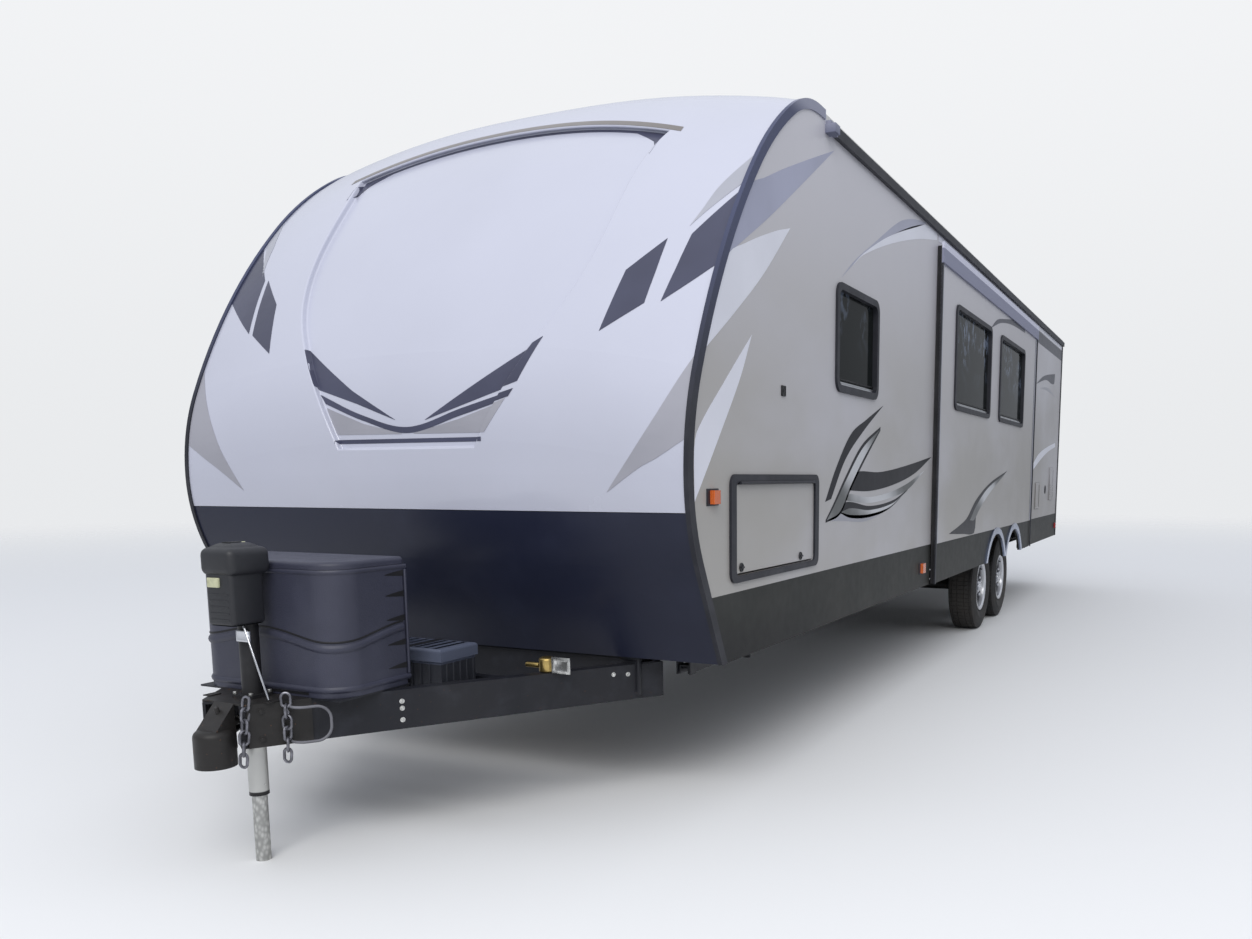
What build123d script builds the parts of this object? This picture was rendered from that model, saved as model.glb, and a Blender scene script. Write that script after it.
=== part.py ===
from build123d import *
from math import cos, radians, sin, tan
import os

# Travel trailer with one slide-out room, parked on its tongue jack.
# Millimetres. +X is the driver's side, -Y is the front, Z is up from the ground.
# Stations are distances back from the front corner of the side walls.

os.makedirs("parts", exist_ok=True)

# ---- body shell
body_length = 9310
half_width = 1219
front_y = -4349
skirt_z = 835
skirt_bottom_z = 580
band_z = 1140
roof_edge_z = 2800
wall_thick = 45
shell_thick = 60

# ---- front: a raked guard, a short upright at the nose, then arcs that run out level
guard_rake = 26.6
nose_arc = 730
nose_station = -16
nose_z = 1270
face_arcs = [
    # radius, lean from upright at its upper end
    (913, 22),
    (2716, 42),
    (1606, 59),
    (595, 90),
]
# the middle stands higher than the sides, and the section follows this power of the offset
crown_rise = 130
crown_power = 2.5
edge_rise = 2
section_count = 8
cap_rear_station = 1300
recess_depth = 25

# ---- running gear
tyre_radius = 355
tyre_width = 225
wheel_x = 1037
axle_stations = (5440, 6280)
arch_radius = 490
hub_radius = 150
spindle_radius = 22

# ---- frame
rail_x = 850
rail_bottom_z = 550
rail_height = 200
rail_width = 70
tongue_bottom_z = 415
tongue_height = 135
tongue_half_angle = 33.5
ball_station = -905
jack_station = -755


def at(station):
    return front_y + station


rear_y = at(body_length)


# ---------------------------------------------------------------- body form
def crown(x):
    """Height of the section above the nominal roof edge, at an offset from the middle."""
    return edge_rise + crown_rise * (1 - abs(x / half_width) ** crown_power)


def side_profile(inset, lift):
    """Side view of the body, drawn in by inset, everything above the nose raised by lift."""
    lean = radians(guard_rake)
    bend = nose_arc - inset
    y, z = at(nose_station) + inset, nose_z
    middle = (y + bend * (1 - cos(lean / 2)), z - bend * sin(lean / 2))
    foot = (y + bend * (1 - cos(lean)), z - bend * sin(lean))
    toe = (foot[0] + (foot[1] - skirt_bottom_z) * tan(lean), skirt_bottom_z)
    with BuildLine() as outline:
        Line(toe, foot)
        ThreePointArc(foot, middle, (y, z))
        Line((y, z), (y, z + lift))
        z += lift
        start = 0
        for radius, end in face_arcs:
            bend = radius - inset
            a, b = radians(start), radians(end)
            half = (a + b) / 2
            middle = (y + bend * (cos(a) - cos(half)), z + bend * (sin(half) - sin(a)))
            tip = (y + bend * (cos(a) - cos(b)), z + bend * (sin(b) - sin(a)))
            ThreePointArc((y, z), middle, tip)
            (y, z), start = tip, end
        Polyline((y, z), (rear_y, z), (rear_y, skirt_bottom_z), toe)
    return outline.edges()


def body_form(inset):
    """The whole outer form, drawn in by inset at the front and the roof."""
    with BuildPart() as form:
        for k in range(-section_count // 2, section_count // 2 + 1):
            x = half_width * k / (section_count // 2)
            with BuildSketch(Plane.YZ.offset(x)):
                make_face(side_profile(inset, crown(x)))
        loft()
    return form.part


def slab(x0, x1, s0, s1, z0, z1):
    """Box between two offsets, two stations and two heights."""
    size = (abs(x1 - x0), s1 - s0, z1 - z0)
    middle = ((x0 + x1) / 2, at((s0 + s1) / 2), (z0 + z1) / 2)
    return Pos(*middle) * Box(*size, mode=Mode.PRIVATE)


outer_form = body_form(0)
inner_form = body_form(shell_thick)
recess_form = body_form(recess_depth)
guard_thick = 22
guard_inner_form = body_form(guard_thick)
# the side walls run out under the edge trims
wall_inset = 28
wall_form = body_form(wall_inset)


def wall_blank(side):
    """A side wall before anything is cut in it."""
    with BuildPart() as blank:
        add(slab(side * half_width, side * (half_width - wall_thick), -100, body_length, skirt_z, 2900))
        add(wall_form, mode=Mode.INTERSECT)
    return blank.part


wall_blanks = {side: wall_blank(side) for side in (1, -1)}


# tongue jack
jack_tube_radius = 31
jack_bore = 26.5
leg_radius = 24
jack_body_z = 855
jack_head_z = 925


# a cylinder stands on its place or hangs from it
stood = (Align.CENTER, Align.CENTER, Align.MIN)
hung = (Align.CENTER, Align.CENTER, Align.MAX)


def finish(piece, name):
    piece.part.label = name
    export_step(piece.part, f"parts/{name}.step")


# ---------------------------------------------------------------- front cap and guard
recess_rows = [
    # half width, z
    (335, 1372),
    (450, 1575),
    (566, 1757),
    (660, 1916),
    (722, 2110),
    (742, 2300),
    (762, 2480),
    (800, 2600),
]
recess_crown_z = 2720
recess_rounding = 6


def recess_blank():
    """Waisted panel over the nose, sunk by the recess depth."""
    foot_half, foot_z = recess_rows[0]
    head_half, head_z = recess_rows[-1]
    with BuildPart() as blank:
        with BuildSketch(Plane.XZ.offset(-at(-300))):
            with BuildLine():
                Spline(*[(x, z) for x, z in recess_rows])
                ThreePointArc((head_half, head_z), (0, recess_crown_z), (-head_half, head_z))
                Spline(*[(-x, z) for x, z in reversed(recess_rows)])
                Line((-foot_half, foot_z), (foot_half, foot_z))
            make_face()
        extrude(amount=-1600)
        add(recess_form, mode=Mode.SUBTRACT)
    return blank.part


def is_recess_wall(face):
    """True for the narrow faces round the sunk panel, which stand along Y."""
    middle = face.center()
    upright = abs(face.normal_at(middle).Y) < 0.15
    return upright and middle.Y < at(900) and abs(middle.X) < 1000 and band_z + 50 < middle.Z < 2740


with BuildPart() as front_cap:
    add(outer_form)
    add(inner_form, mode=Mode.SUBTRACT)
    add(slab(-1300, 1300, -200, cap_rear_station, band_z, 3000), mode=Mode.INTERSECT)
    add(recess_blank(), mode=Mode.SUBTRACT)
    # edges shared by two recess walls run across the step, the others along it
    recess_edges = ShapeList()
    for face in filter(is_recess_wall, front_cap.faces()):
        recess_edges += face.edges()
    along = [edge for edge in recess_edges if sum(other.is_same(edge) for other in recess_edges) == 1]
    fillet(along, recess_rounding)
    for side in (1, -1):
        add(wall_blanks[side], mode=Mode.SUBTRACT)
finish(front_cap, "front_cap")

with BuildPart() as front_guard:
    add(outer_form)
    add(guard_inner_form, mode=Mode.SUBTRACT)
    add(slab(-1300, 1300, -200, 900, skirt_bottom_z, band_z - 2), mode=Mode.INTERSECT)
    for side in (1, -1):
        add(wall_blanks[side], mode=Mode.SUBTRACT)
finish(front_guard, "front_guard")


# ---------------------------------------------------------------- openings
# side: +1 driver's side, -1 curb side; sizes are the outer edge of the frame
window_rows = [
    # side, station, z, width, height
    (1, 1775, 1895, 650, 490),
    (-1, 1775, 1895, 650, 490),
    (-1, 5750, 2060, 760, 460),
    (-1, 7500, 1990, 1150, 620),
]
window_corner = 60
frame_lip = 10
frame_width = 32
frame_proud = 12
rear_window = (0, 1950, 950, 520)

slide_front = 3320
slide_rear = 7230
slide_top_z = 2660
slide_opening = (3372, 7178, 848, 2612)
slide_windows = [
    # station, z, width, height
    (4345, 2040, 1210, 680),
    (5920, 2040, 1180, 680),
]
baggage_opening = (355, 1185, 895, 1240)
baggage_frame = (310, 1230, 870, 1270)
door_opening = (4050, 4750, 850, 2606)
door_frame = (4010, 4790, 836, 2636)


def wall_plane(x, station, z, side):
    """Upright plane on a side wall, local X rearward and local Z outward."""
    return Plane(origin=(side * x, at(station), z), x_dir=(0, side, 0), z_dir=(side, 0, 0))


def cut_through(side, station, z, width, height, corner):
    """Rounded opening through the side wall that stands on the given side."""
    with BuildSketch(wall_plane(half_width + 50, station, z, side)) as opening:
        RectangleRounded(width, height, corner)
    extrude(opening.sketch, amount=-150, mode=Mode.SUBTRACT)


def window_hole(side, station, z, width, height):
    """Hole that a window frame of the given outer size drops into."""
    cut_through(side, station, z, width - 2 * frame_lip, height - 2 * frame_lip, window_corner - 8)


def box_opening(side, opening, corner=20):
    s0, s1, z0, z1 = opening
    cut_through(side, (s0 + s1) / 2, (z0 + z1) / 2, s1 - s0, z1 - z0, corner)


# ---------------------------------------------------------------- walls, roof and floor
def side_wall(side):
    with BuildPart() as wall:
        add(wall_blanks[side])
        for row_side, station, z, width, height in window_rows:
            if row_side == side:
                window_hole(side, station, z, width, height)
        box_opening(side, baggage_opening)
        if side > 0:
            box_opening(side, slide_opening, 12)
            # the wall is framed in three: ahead of the slide-out, header and sill, and behind it
            for station in slide_opening[:2]:
                split(bisect_by=Plane.XZ.offset(-at(station)), keep=Keep.BOTH)
        else:
            box_opening(side, door_opening, 30)
    return wall


side_wall_left = side_wall(1)
finish(side_wall_left, "side_wall_left")
side_wall_right = side_wall(-1)
finish(side_wall_right, "side_wall_right")

inner_half = half_width - wall_thick
with BuildPart() as rear_wall:
    add(slab(-inner_half, inner_half, body_length - wall_thick, body_length, skirt_z, 2900))
    add(inner_form, mode=Mode.INTERSECT)
    x, z, width, height = rear_window
    with BuildSketch(Plane(origin=(x, rear_y + 50, z), x_dir=(-1, 0, 0), z_dir=(0, 1, 0))):
        RectangleRounded(width - 2 * frame_lip, height - 2 * frame_lip, window_corner - 8)
    extrude(amount=-150, mode=Mode.SUBTRACT)
finish(rear_wall, "rear_wall")

with BuildPart() as roof:
    add(outer_form)
    add(inner_form, mode=Mode.SUBTRACT)
    add(slab(-1300, 1300, cap_rear_station, body_length, 2600, 3000), mode=Mode.INTERSECT)
    for side in (1, -1):
        add(wall_blanks[side], mode=Mode.SUBTRACT)
finish(roof, "roof")

floor_z = 750
floor_front = 235
with BuildPart() as floor:
    add(slab(-1204, 1204, floor_front, body_length - 2, floor_z, skirt_z))
finish(floor, "floor")

with BuildPart() as underbelly:
    add(slab(-815, 815, 1010, 9230, rail_bottom_z + 10, rail_bottom_z + 16))
finish(underbelly, "underbelly")

bed_z = 1320
bulkhead_station = 1400
with BuildPart() as storage_bulkhead:
    add(slab(-inner_half, inner_half, 110, bulkhead_station, bed_z, bed_z + 20))
    add(slab(-inner_half, inner_half, bulkhead_station - 20, bulkhead_station, skirt_z, bed_z))
finish(storage_bulkhead, "storage_bulkhead")


# ---------------------------------------------------------------- skirts and wheel arches
skirt_thick = 12
arch_trim = 52


def arches(x0, x1, radius):
    """Discs about both axles, between two offsets from the centreline."""
    for station in axle_stations:
        with Locations((min(x0, x1) + abs(x1 - x0) / 2, at(station), tyre_radius)):
            Cylinder(radius, abs(x1 - x0), rotation=(0, 90, 0), mode=Mode.ADD)


def skirt_panel(x0, x1, s0, s1, arched):
    with BuildPart() as panel:
        add(slab(x0, x1, s0, s1, skirt_bottom_z, skirt_z))
        add(guard_inner_form, mode=Mode.INTERSECT)
        if arched:
            with BuildPart(mode=Mode.PRIVATE) as openings:
                arches(x0 - 20, x1 + 20, arch_radius - arch_trim)
            add(openings.part, mode=Mode.SUBTRACT)
    return panel.part


with BuildPart() as skirts:
    inner_skirt = half_width - skirt_thick
    add(skirt_panel(inner_skirt, half_width, 100, slide_front - 4, False))
    add(skirt_panel(inner_skirt, half_width, slide_rear + 4, body_length, False))
    add(skirt_panel(-half_width, -inner_skirt, 100, body_length, True))
finish(skirts, "skirts")


def fender_trim(x0, x1):
    """Moulded double arch round both wheels, one band."""
    with BuildPart() as trim:
        arches(x0, x1, arch_radius)
        with BuildPart(mode=Mode.PRIVATE) as openings:
            arches(min(x0, x1) - 20, max(x0, x1) + 20, arch_radius - arch_trim)
        add(openings.part, mode=Mode.SUBTRACT)
        first, last = axle_stations
        add(slab(x0, x1, first - 700, last + 700, skirt_bottom_z, 1000), mode=Mode.INTERSECT)
    return trim.part


# ---------------------------------------------------------------- trims on the body
trim_cover = 34
trim_proud = 6
trim_x0 = 1207
trim_x1 = 1225


def opening_ring(side, outer, inner, proud):
    """Flat frame round a door, on the wall's outer face."""
    with BuildPart() as ring:
        s0, s1, z0, z1 = outer
        with BuildSketch(wall_plane(half_width, (s0 + s1) / 2, (z0 + z1) / 2, side)):
            RectangleRounded(s1 - s0, z1 - z0, 40)
        extrude(amount=proud)
        s0, s1, z0, z1 = inner
        with BuildSketch(wall_plane(half_width - 5, (s0 + s1) / 2, (z0 + z1) / 2, side)):
            RectangleRounded(s1 - s0, z1 - z0, 20)
        extrude(amount=proud + 10, mode=Mode.SUBTRACT)
    return ring.part


hinge_x = 1232
barrel_radius = 6
gutter_width = 21
gutter_z = (2732, 2776)
# spout at the gutter's front end
spout_reach = 48
spout_stations = (cap_rear_station - 14, cap_rear_station + 46)
spout_z = (gutter_z[0] - 10, gutter_z[0] + 26)


def edge_trim(side):
    """Angle trim over the front corner: one leg on the side wall, one on the front."""
    lift = crown(trim_x0) + 2
    with BuildPart() as trim:
        for x0, x1, inset in ((half_width, trim_x1, trim_cover), (trim_x0, half_width, 0)):
            with BuildSketch(Plane.YZ.offset(side * x0)):
                make_face(side_profile(-trim_proud, lift))
                make_face(side_profile(inset, lift), mode=Mode.SUBTRACT)
            extrude(amount=side * (x1 - x0))
        add(slab(-1300, 1300, -200, cap_rear_station - 20, 0, 3000), mode=Mode.INTERSECT)
    return trim.part


with BuildPart() as body_trims:
    for side in (1, -1):
        add(edge_trim(side))
        face = side * half_width
        add(slab(face, side * (half_width + gutter_width), cap_rear_station, body_length, *gutter_z))
        add(slab(face, side * (half_width + spout_reach), *spout_stations, *spout_z))
        add(slab(face, side * trim_x1, body_length - 40, body_length + 6, skirt_bottom_z, gutter_z[0] - 4))
        add(opening_ring(side, baggage_frame, baggage_opening, 10))
    add(opening_ring(-1, door_frame, door_opening, 10))
    add(fender_trim(-half_width - 12, -half_width))
    # hinge barrels of the baggage doors and the entry door
    for side in (1, -1):
        with Locations((side * hinge_x, at(770), baggage_opening[3] - 2)):
            Cylinder(barrel_radius, 780, rotation=(90, 0, 0))
    with Locations(*[(-hinge_x, at(door_opening[0] + 2), z) for z in (1000, 1720, 2440)]):
        Cylinder(barrel_radius, 120)
finish(body_trims, "body_trims")


def frame_ring(plane, width, height, lip, depth, corner=window_corner):
    """Window frame: a flange outside the wall and a sleeve through it."""
    clear = (width - 2 * frame_width, height - 2 * frame_width, corner - 24)
    with BuildPart() as ring:
        with BuildSketch(plane):
            RectangleRounded(width, height, corner)
            RectangleRounded(*clear, mode=Mode.SUBTRACT)
        extrude(amount=frame_proud)
        with BuildSketch(plane):
            RectangleRounded(width - 2 * lip, height - 2 * lip, corner - 8)
            RectangleRounded(*clear, mode=Mode.SUBTRACT)
        extrude(amount=-depth)
    return ring.part


def pane(plane, width, height, corner=window_corner):
    with BuildPart() as glass:
        with BuildSketch(plane.offset(-14)):
            RectangleRounded(width - 2 * frame_width, height - 2 * frame_width, corner - 24)
        extrude(amount=-6)
    return glass.part


rear_plane = Plane(origin=(rear_window[0], rear_y, rear_window[1]), x_dir=(-1, 0, 0), z_dir=(0, 1, 0))
with BuildPart() as window_frames:
    for side, station, z, width, height in window_rows:
        add(frame_ring(wall_plane(half_width, station, z, side), width, height, frame_lip, wall_thick))
    add(frame_ring(rear_plane, rear_window[2], rear_window[3], frame_lip, wall_thick))
finish(window_frames, "window_frames")

with BuildPart() as window_glass:
    for side, station, z, width, height in window_rows:
        add(pane(wall_plane(half_width, station, z, side), width, height))
    add(pane(rear_plane, rear_window[2], rear_window[3]))
finish(window_glass, "window_glass")


# ---------------------------------------------------------------- doors
door_gap = 8
door_thick = 40


def door_slab(side, opening, corner):
    s0, s1, z0, z1 = opening
    with BuildSketch(wall_plane(half_width, (s0 + s1) / 2, (z0 + z1) / 2, side)) as leaf:
        RectangleRounded(s1 - s0 - 2 * door_gap, z1 - z0 - 2 * door_gap, corner)
    extrude(leaf.sketch, amount=-door_thick)


for side, name in ((1, "baggage_door_left"), (-1, "baggage_door_right")):
    with BuildPart() as baggage_door:
        door_slab(side, baggage_opening, 16)
    finish(baggage_door, name)

door_window = (4400, 2150, 330, 560)
with BuildPart() as entry_door:
    door_slab(-1, door_opening, 24)
    station, z, width, height = door_window
    window_hole(-1, station, z, width, height)
finish(entry_door, "entry_door")

with BuildPart() as door_glass:
    plane = wall_plane(half_width, station, z, -1)
    add(frame_ring(plane, width, height, frame_lip, door_thick))
    add(pane(plane, width, height))
finish(door_glass, "door_glass")


# ---------------------------------------------------------------- slide-out room
face_x = 1222
face_thick = 25
face_out = face_x + face_thick
room_inner_x = 300
room_wall = 40
room = (3385, 7165, 862, 2598)

with BuildPart() as slide_room:
    s0, s1, z0, z1 = room
    add(slab(room_inner_x, face_x, s0, s1, z0, z1))
    add(
        slab(room_inner_x - 10, face_x + 10, s0 + room_wall, s1 - room_wall, z0 + room_wall, z1 - room_wall),
        mode=Mode.SUBTRACT,
    )
finish(slide_room, "slide_room")

with BuildPart() as slide_face:
    add(slab(face_x, face_out, slide_front, slide_rear, skirt_z, slide_top_z))
    for station, z, width, height in slide_windows:
        window_hole(1, station, z, width, height)
finish(slide_face, "slide_face")

with BuildPart() as slide_skirt:
    add(slab(face_x, face_x + skirt_thick + 6, slide_front, slide_rear, skirt_bottom_z, skirt_z))
    with BuildPart(mode=Mode.PRIVATE) as openings:
        arches(face_x - 20, face_x + 60, arch_radius - arch_trim)
    add(openings.part, mode=Mode.SUBTRACT)
finish(slide_skirt, "slide_skirt")

slide_planes = [
    (Plane(origin=(face_out, at(station), z), x_dir=(0, 1, 0), z_dir=(1, 0, 0)), width, height)
    for station, z, width, height in slide_windows
]
fascia_z = (2560, 2682)
with BuildPart() as slide_trims:
    add(slab(face_out, face_out + 14, slide_front, slide_rear, *fascia_z))
    for s0 in (slide_front - 2, slide_rear - 26):
        add(slab(face_out, face_out + 8, s0, s0 + 28, skirt_bottom_z, fascia_z[0]))
    with BuildPart(mode=Mode.PRIVATE) as left_arches:
        add(fender_trim(face_x + skirt_thick + 6, face_out + 8))
        add(slide_face.part, mode=Mode.SUBTRACT)
    add(left_arches.part)
    for plane, width, height in slide_planes:
        add(frame_ring(plane, width, height, frame_lip, face_thick))
finish(slide_trims, "slide_trims")

with BuildPart() as slide_glass:
    for plane, width, height in slide_planes:
        add(pane(plane, width, height))
finish(slide_glass, "slide_glass")


# ---------------------------------------------------------------- frame
web = 8
rail_front = 285
outrigger_stations = (1500, 2700, 3900, 4900, 6900, 8000, 8700)
stabiliser_rows = [
    # name, side, hinge station, fold direction
    ("front_left", 1, 420, 1),
    ("front_right", -1, 420, 1),
    ("rear_left", 1, 8900, -1),
    ("rear_right", -1, 8900, -1),
]
stabiliser_x = 980
stabiliser_z = 520
stabiliser_length = 510

with BuildPart() as main_rails:
    for side in (1, -1):
        with BuildSketch(Plane.XZ.offset(-at(rail_front))):
            middle_z = rail_bottom_z + rail_height / 2
            with Locations((side * rail_x, middle_z)):
                Rectangle(rail_width, rail_height)
            with Locations(*[(side * rail_x + k * (rail_width + web) / 4, middle_z) for k in (1, -1)]):
                Rectangle((rail_width - web) / 2, rail_height - 2 * web, mode=Mode.SUBTRACT)
        extrude(amount=-(9330 - rail_front))
finish(main_rails, "main_rails")

flange = rail_width / 2
with BuildPart() as outriggers:
    for side in (1, -1):
        for station in outrigger_stations:
            with BuildSketch(Plane.XZ.offset(-at(station))):
                with BuildLine():
                    Polyline(
                        (side * (rail_x + flange), floor_z),
                        (side * 1190, floor_z),
                        (side * 1190, floor_z - 40),
                        (side * (rail_x + flange), rail_bottom_z + 30),
                        close=True,
                    )
                make_face()
            extrude(amount=-5)
    for name, side, station, fold in stabiliser_rows:
        x0, x1 = sorted((side * (rail_x + flange), side * (stabiliser_x + 32)))
        add(slab(x0, x1, station - 35, station + 35, rail_bottom_z, rail_bottom_z + web))
        for k in (-1, 1):
            middle = side * stabiliser_x + k * 28
            add(slab(middle - 3, middle + 3, station - 25, station + 25, stabiliser_z - 22, rail_bottom_z))
        with Locations((side * stabiliser_x, at(station), stabiliser_z)):
            Cylinder(6, 62, rotation=(0, 90, 0))
finish(outriggers, "outriggers")

with BuildPart() as cross_members:
    for s0, s1 in ((rail_front, rail_front + 60), (9270, 9330)):
        reach = rail_x - web / 2
        add(slab(-reach, reach, s0, s1, rail_bottom_z + web, rail_bottom_z + rail_height - web))
        add(
            slab(-rail_x + 40, rail_x - 40, s0 + web, s1 + 1, rail_bottom_z + 2 * web, floor_z - 2 * web),
            mode=Mode.SUBTRACT,
        )
finish(cross_members, "cross_members")

tongue_apex = -957
tongue_start = -862
tongue_end = 380
channel_width = 50
channel_web = 6
plate_thick = 6
tongue_top_z = tongue_bottom_z + tongue_height
tray_z = tongue_top_z + plate_thick


def tongue_x(station):
    """Offset of a tongue rail's middle."""
    return (station - tongue_apex) * tan(radians(tongue_half_angle))


def span(z, s0, s1, grow):
    """Outline between two stations, out to the rails' middles and further by grow."""
    half0, half1 = tongue_x(s0) + grow, tongue_x(s1) + grow
    with BuildSketch(Plane.XY.offset(z)) as outline:
        with BuildLine():
            Polyline((-half0, at(s0)), (half0, at(s0)), (half1, at(s1)), (-half1, at(s1)), close=True)
        make_face()
    return outline.sketch


rail_half = channel_width / 2 / cos(radians(tongue_half_angle))
battery_tray_z = tongue_bottom_z + 2 * channel_web
cover_half = 322
cover_front = -698
cover_rear = -380
with BuildPart() as tongue_frame:
    for side in (1, -1):
        run = (tongue_end - tongue_start) / cos(radians(tongue_half_angle))
        heading = (side * sin(radians(tongue_half_angle)), cos(radians(tongue_half_angle)), 0)
        across = (side * heading[1], -abs(heading[0]), 0)
        start = (side * tongue_x(tongue_start), at(tongue_start), tongue_bottom_z)
        with BuildSketch(Plane(origin=start, x_dir=across, z_dir=heading)):
            up = -side  # local Y points down on the driver's side
            with Locations((0, up * tongue_height / 2)):
                Rectangle(channel_width, tongue_height)
            with Locations((-channel_web, up * tongue_height / 2)):
                Rectangle(channel_width - channel_web, tongue_height - 2 * channel_web, mode=Mode.SUBTRACT)
        extrude(amount=run)
    # bottle tray on top of the rails, battery tray on their lower flanges, and two braces
    add(slab(-cover_half, cover_half, cover_front, cover_rear, tongue_top_z, tray_z))
    extrude(span(tongue_bottom_z + channel_web, -275, -65, channel_web - rail_half), amount=channel_web)
    for s0 in (-560, -30):
        extrude(span(battery_tray_z, s0, s0 + 40, channel_web - rail_half), amount=90)
finish(tongue_frame, "tongue_frame")

coupler_top_z = 480
coupler_bottom_z = 360
coupler_rear = -704
ball_z = 415
ball_radius = 30
wing_thick = 8
with BuildPart() as coupler:
    # plate over the rails, and a wing outside each
    extrude(
        span(tongue_bottom_z, tongue_start, coupler_rear, rail_half + wing_thick),
        amount=tongue_height + plate_thick,
    )
    extrude(
        span(tongue_bottom_z, tongue_start, coupler_rear + 10, rail_half),
        amount=tongue_height,
        mode=Mode.SUBTRACT,
    )
    # ball housing, open below
    with BuildSketch(Plane.XY.offset(coupler_bottom_z)):
        with Locations((0, at(ball_station))):
            Circle(62)
    extrude(amount=coupler_top_z - coupler_bottom_z)
    fillet(coupler.edges().filter_by(GeomType.CIRCLE).group_by(Axis.Z)[-1], 24)
    with BuildSketch(Plane.YZ.offset(-44)):
        with BuildLine():
            Polyline(
                (at(ball_station), coupler_bottom_z + 30),
                (at(ball_station - 30), coupler_top_z - 6),
                (at(tongue_start), tongue_top_z + plate_thick),
                (at(tongue_start + 4), tongue_bottom_z),
                (at(tongue_start - 10), coupler_bottom_z + 30),
                close=True,
            )
        make_face()
    extrude(amount=88)
    with Locations((0, at(ball_station), ball_z)):
        Cylinder(ball_radius, ball_z - coupler_bottom_z, align=hung, mode=Mode.SUBTRACT)
        Sphere(ball_radius, mode=Mode.SUBTRACT)
    # clearance for the jack's tube
    with Locations((0, at(jack_station), tongue_top_z)):
        Cylinder(jack_tube_radius, 60, mode=Mode.SUBTRACT)
finish(coupler, "coupler")

cable_radius = 4.5
cable_bend = 45
cable_exit = (-760, 540)
cable_rows = [
    # out from the wing, back along it, height over the exit
    (0, 0, 0),
    (55, 0, 0),
    (55, 115, 0),
    (55, 115, -113),
    (55, 0, -113),
    (0, 0, -113),
]


def beside_wing(out, back, rise):
    """Point beside the driver's side wing of the coupler."""
    station, z = cable_exit
    a = radians(tongue_half_angle)
    face = tongue_x(station) + rail_half + wing_thick
    return (face + out * cos(a) + back * sin(a), at(station) - out * sin(a) + back * cos(a), z + rise)


with BuildPart() as brake_cable:
    with BuildLine() as cable_path:
        FilletPolyline(*[beside_wing(*row) for row in cable_rows], radius=cable_bend)
    with BuildSketch(Plane(origin=cable_path.line @ 0, z_dir=cable_path.line % 0)):
        Circle(cable_radius)
    sweep(path=cable_path.line)
finish(brake_cable, "brake_cable")

with BuildPart() as jack_tube:
    with BuildSketch(Plane.XY.offset(225)):
        with Locations((0, at(jack_station))):
            Circle(jack_tube_radius)
            Circle(jack_bore, mode=Mode.SUBTRACT)
    extrude(amount=jack_body_z - 225)
    with BuildSketch(Plane.XY.offset(tray_z)):
        with Locations((0, at(jack_station))):
            RectangleRounded(94, 94, 12)
            Circle(jack_bore, mode=Mode.SUBTRACT)
    extrude(amount=10)
finish(jack_tube, "jack_tube")

with BuildPart() as jack_drop_leg:
    with Locations((0, at(jack_station), 0)):
        Cylinder(leg_radius, 560, align=stood)
finish(jack_drop_leg, "jack_drop_leg")

with BuildPart() as jack_housing:
    # gear and motor body
    with BuildSketch(Plane.XY.offset(jack_body_z - 60)):
        with Locations((0, at(-784))):
            RectangleRounded(104, 122, 26)
    extrude(amount=jack_head_z - jack_body_z + 90)
    # head, wider than the body, with a sloping front
    with BuildSketch(Plane.YZ.offset(-74)):
        with BuildLine():
            Polyline(
                (at(-846), 925),
                (at(-864), 958),
                (at(-864), 1030),
                (at(-800), 1062),
                (at(-742), 1058),
                (at(-707), 1028),
                (at(-707), 1000),
                (at(-738), 925),
                close=True,
            )
        make_face()
    extrude(amount=148)
    fillet(jack_housing.edges().filter_by(Axis.X).group_by(Axis.Z)[-1], 12)
    with Locations((0, at(jack_station), jack_body_z)):
        Cylinder(jack_tube_radius + 0.3, 130, mode=Mode.SUBTRACT)
finish(jack_housing, "jack_housing")

# ---------------------------------------------------------------- propane and battery
bottle_radius = 142
bottle_x = 158
bottle_station = -540
cover_top_z = 970
cover_wall = 6
cover_front_corner = 100
cover_rear_corner = 20
with BuildPart() as propane_bottles:
    for side in (1, -1):
        with Locations((side * bottle_x, at(bottle_station), tray_z)):
            Cylinder(bottle_radius, 340, align=stood)
        with Locations((side * bottle_x, at(bottle_station), tray_z + 340)):
            Cylinder(80, 60, align=stood)
finish(propane_bottles, "propane_bottles")


def cover_outline(z, inset):
    """Plan of the cover: large corners in front, small ones behind."""
    with BuildSketch(Plane.XY.offset(z)) as outline:
        with Locations((0, at((cover_front + cover_rear) / 2))):
            Rectangle(2 * (cover_half - inset), cover_rear - cover_front - 2 * inset)
        fillet(outline.vertices().group_by(Axis.Y)[0], cover_front_corner - inset)
        fillet(outline.vertices().group_by(Axis.Y)[-1], cover_rear_corner - inset)
    return outline.sketch


with BuildPart() as propane_cover:
    extrude(cover_outline(tray_z, 0), amount=cover_top_z - tray_z)
    extrude(cover_outline(tray_z - 1, cover_wall), amount=cover_top_z - tray_z + 2, mode=Mode.SUBTRACT)
finish(propane_cover, "propane_cover")

with BuildPart() as propane_lid:
    extrude(cover_outline(cover_top_z + 1, 0), amount=24)
    fillet(propane_lid.faces().sort_by(Axis.Z)[-1].edges(), 14)
finish(propane_lid, "propane_lid")

with BuildPart() as battery_box:
    add(slab(34, 356, -262, -78, battery_tray_z, 610))
    add(slab(26, 364, -270, -70, 610, 655))
    fillet(battery_box.faces().sort_by(Axis.Z)[-1].edges(), 12)
finish(battery_box, "battery_box")

# ---------------------------------------------------------------- running gear
wheel_rows = [
    (f"{side_name}_{row}", side, station)
    for side_name, side in (("left", 1), ("right", -1))
    for row, station in zip(("front", "rear"), axle_stations)
]
backing_x = 905

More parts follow.
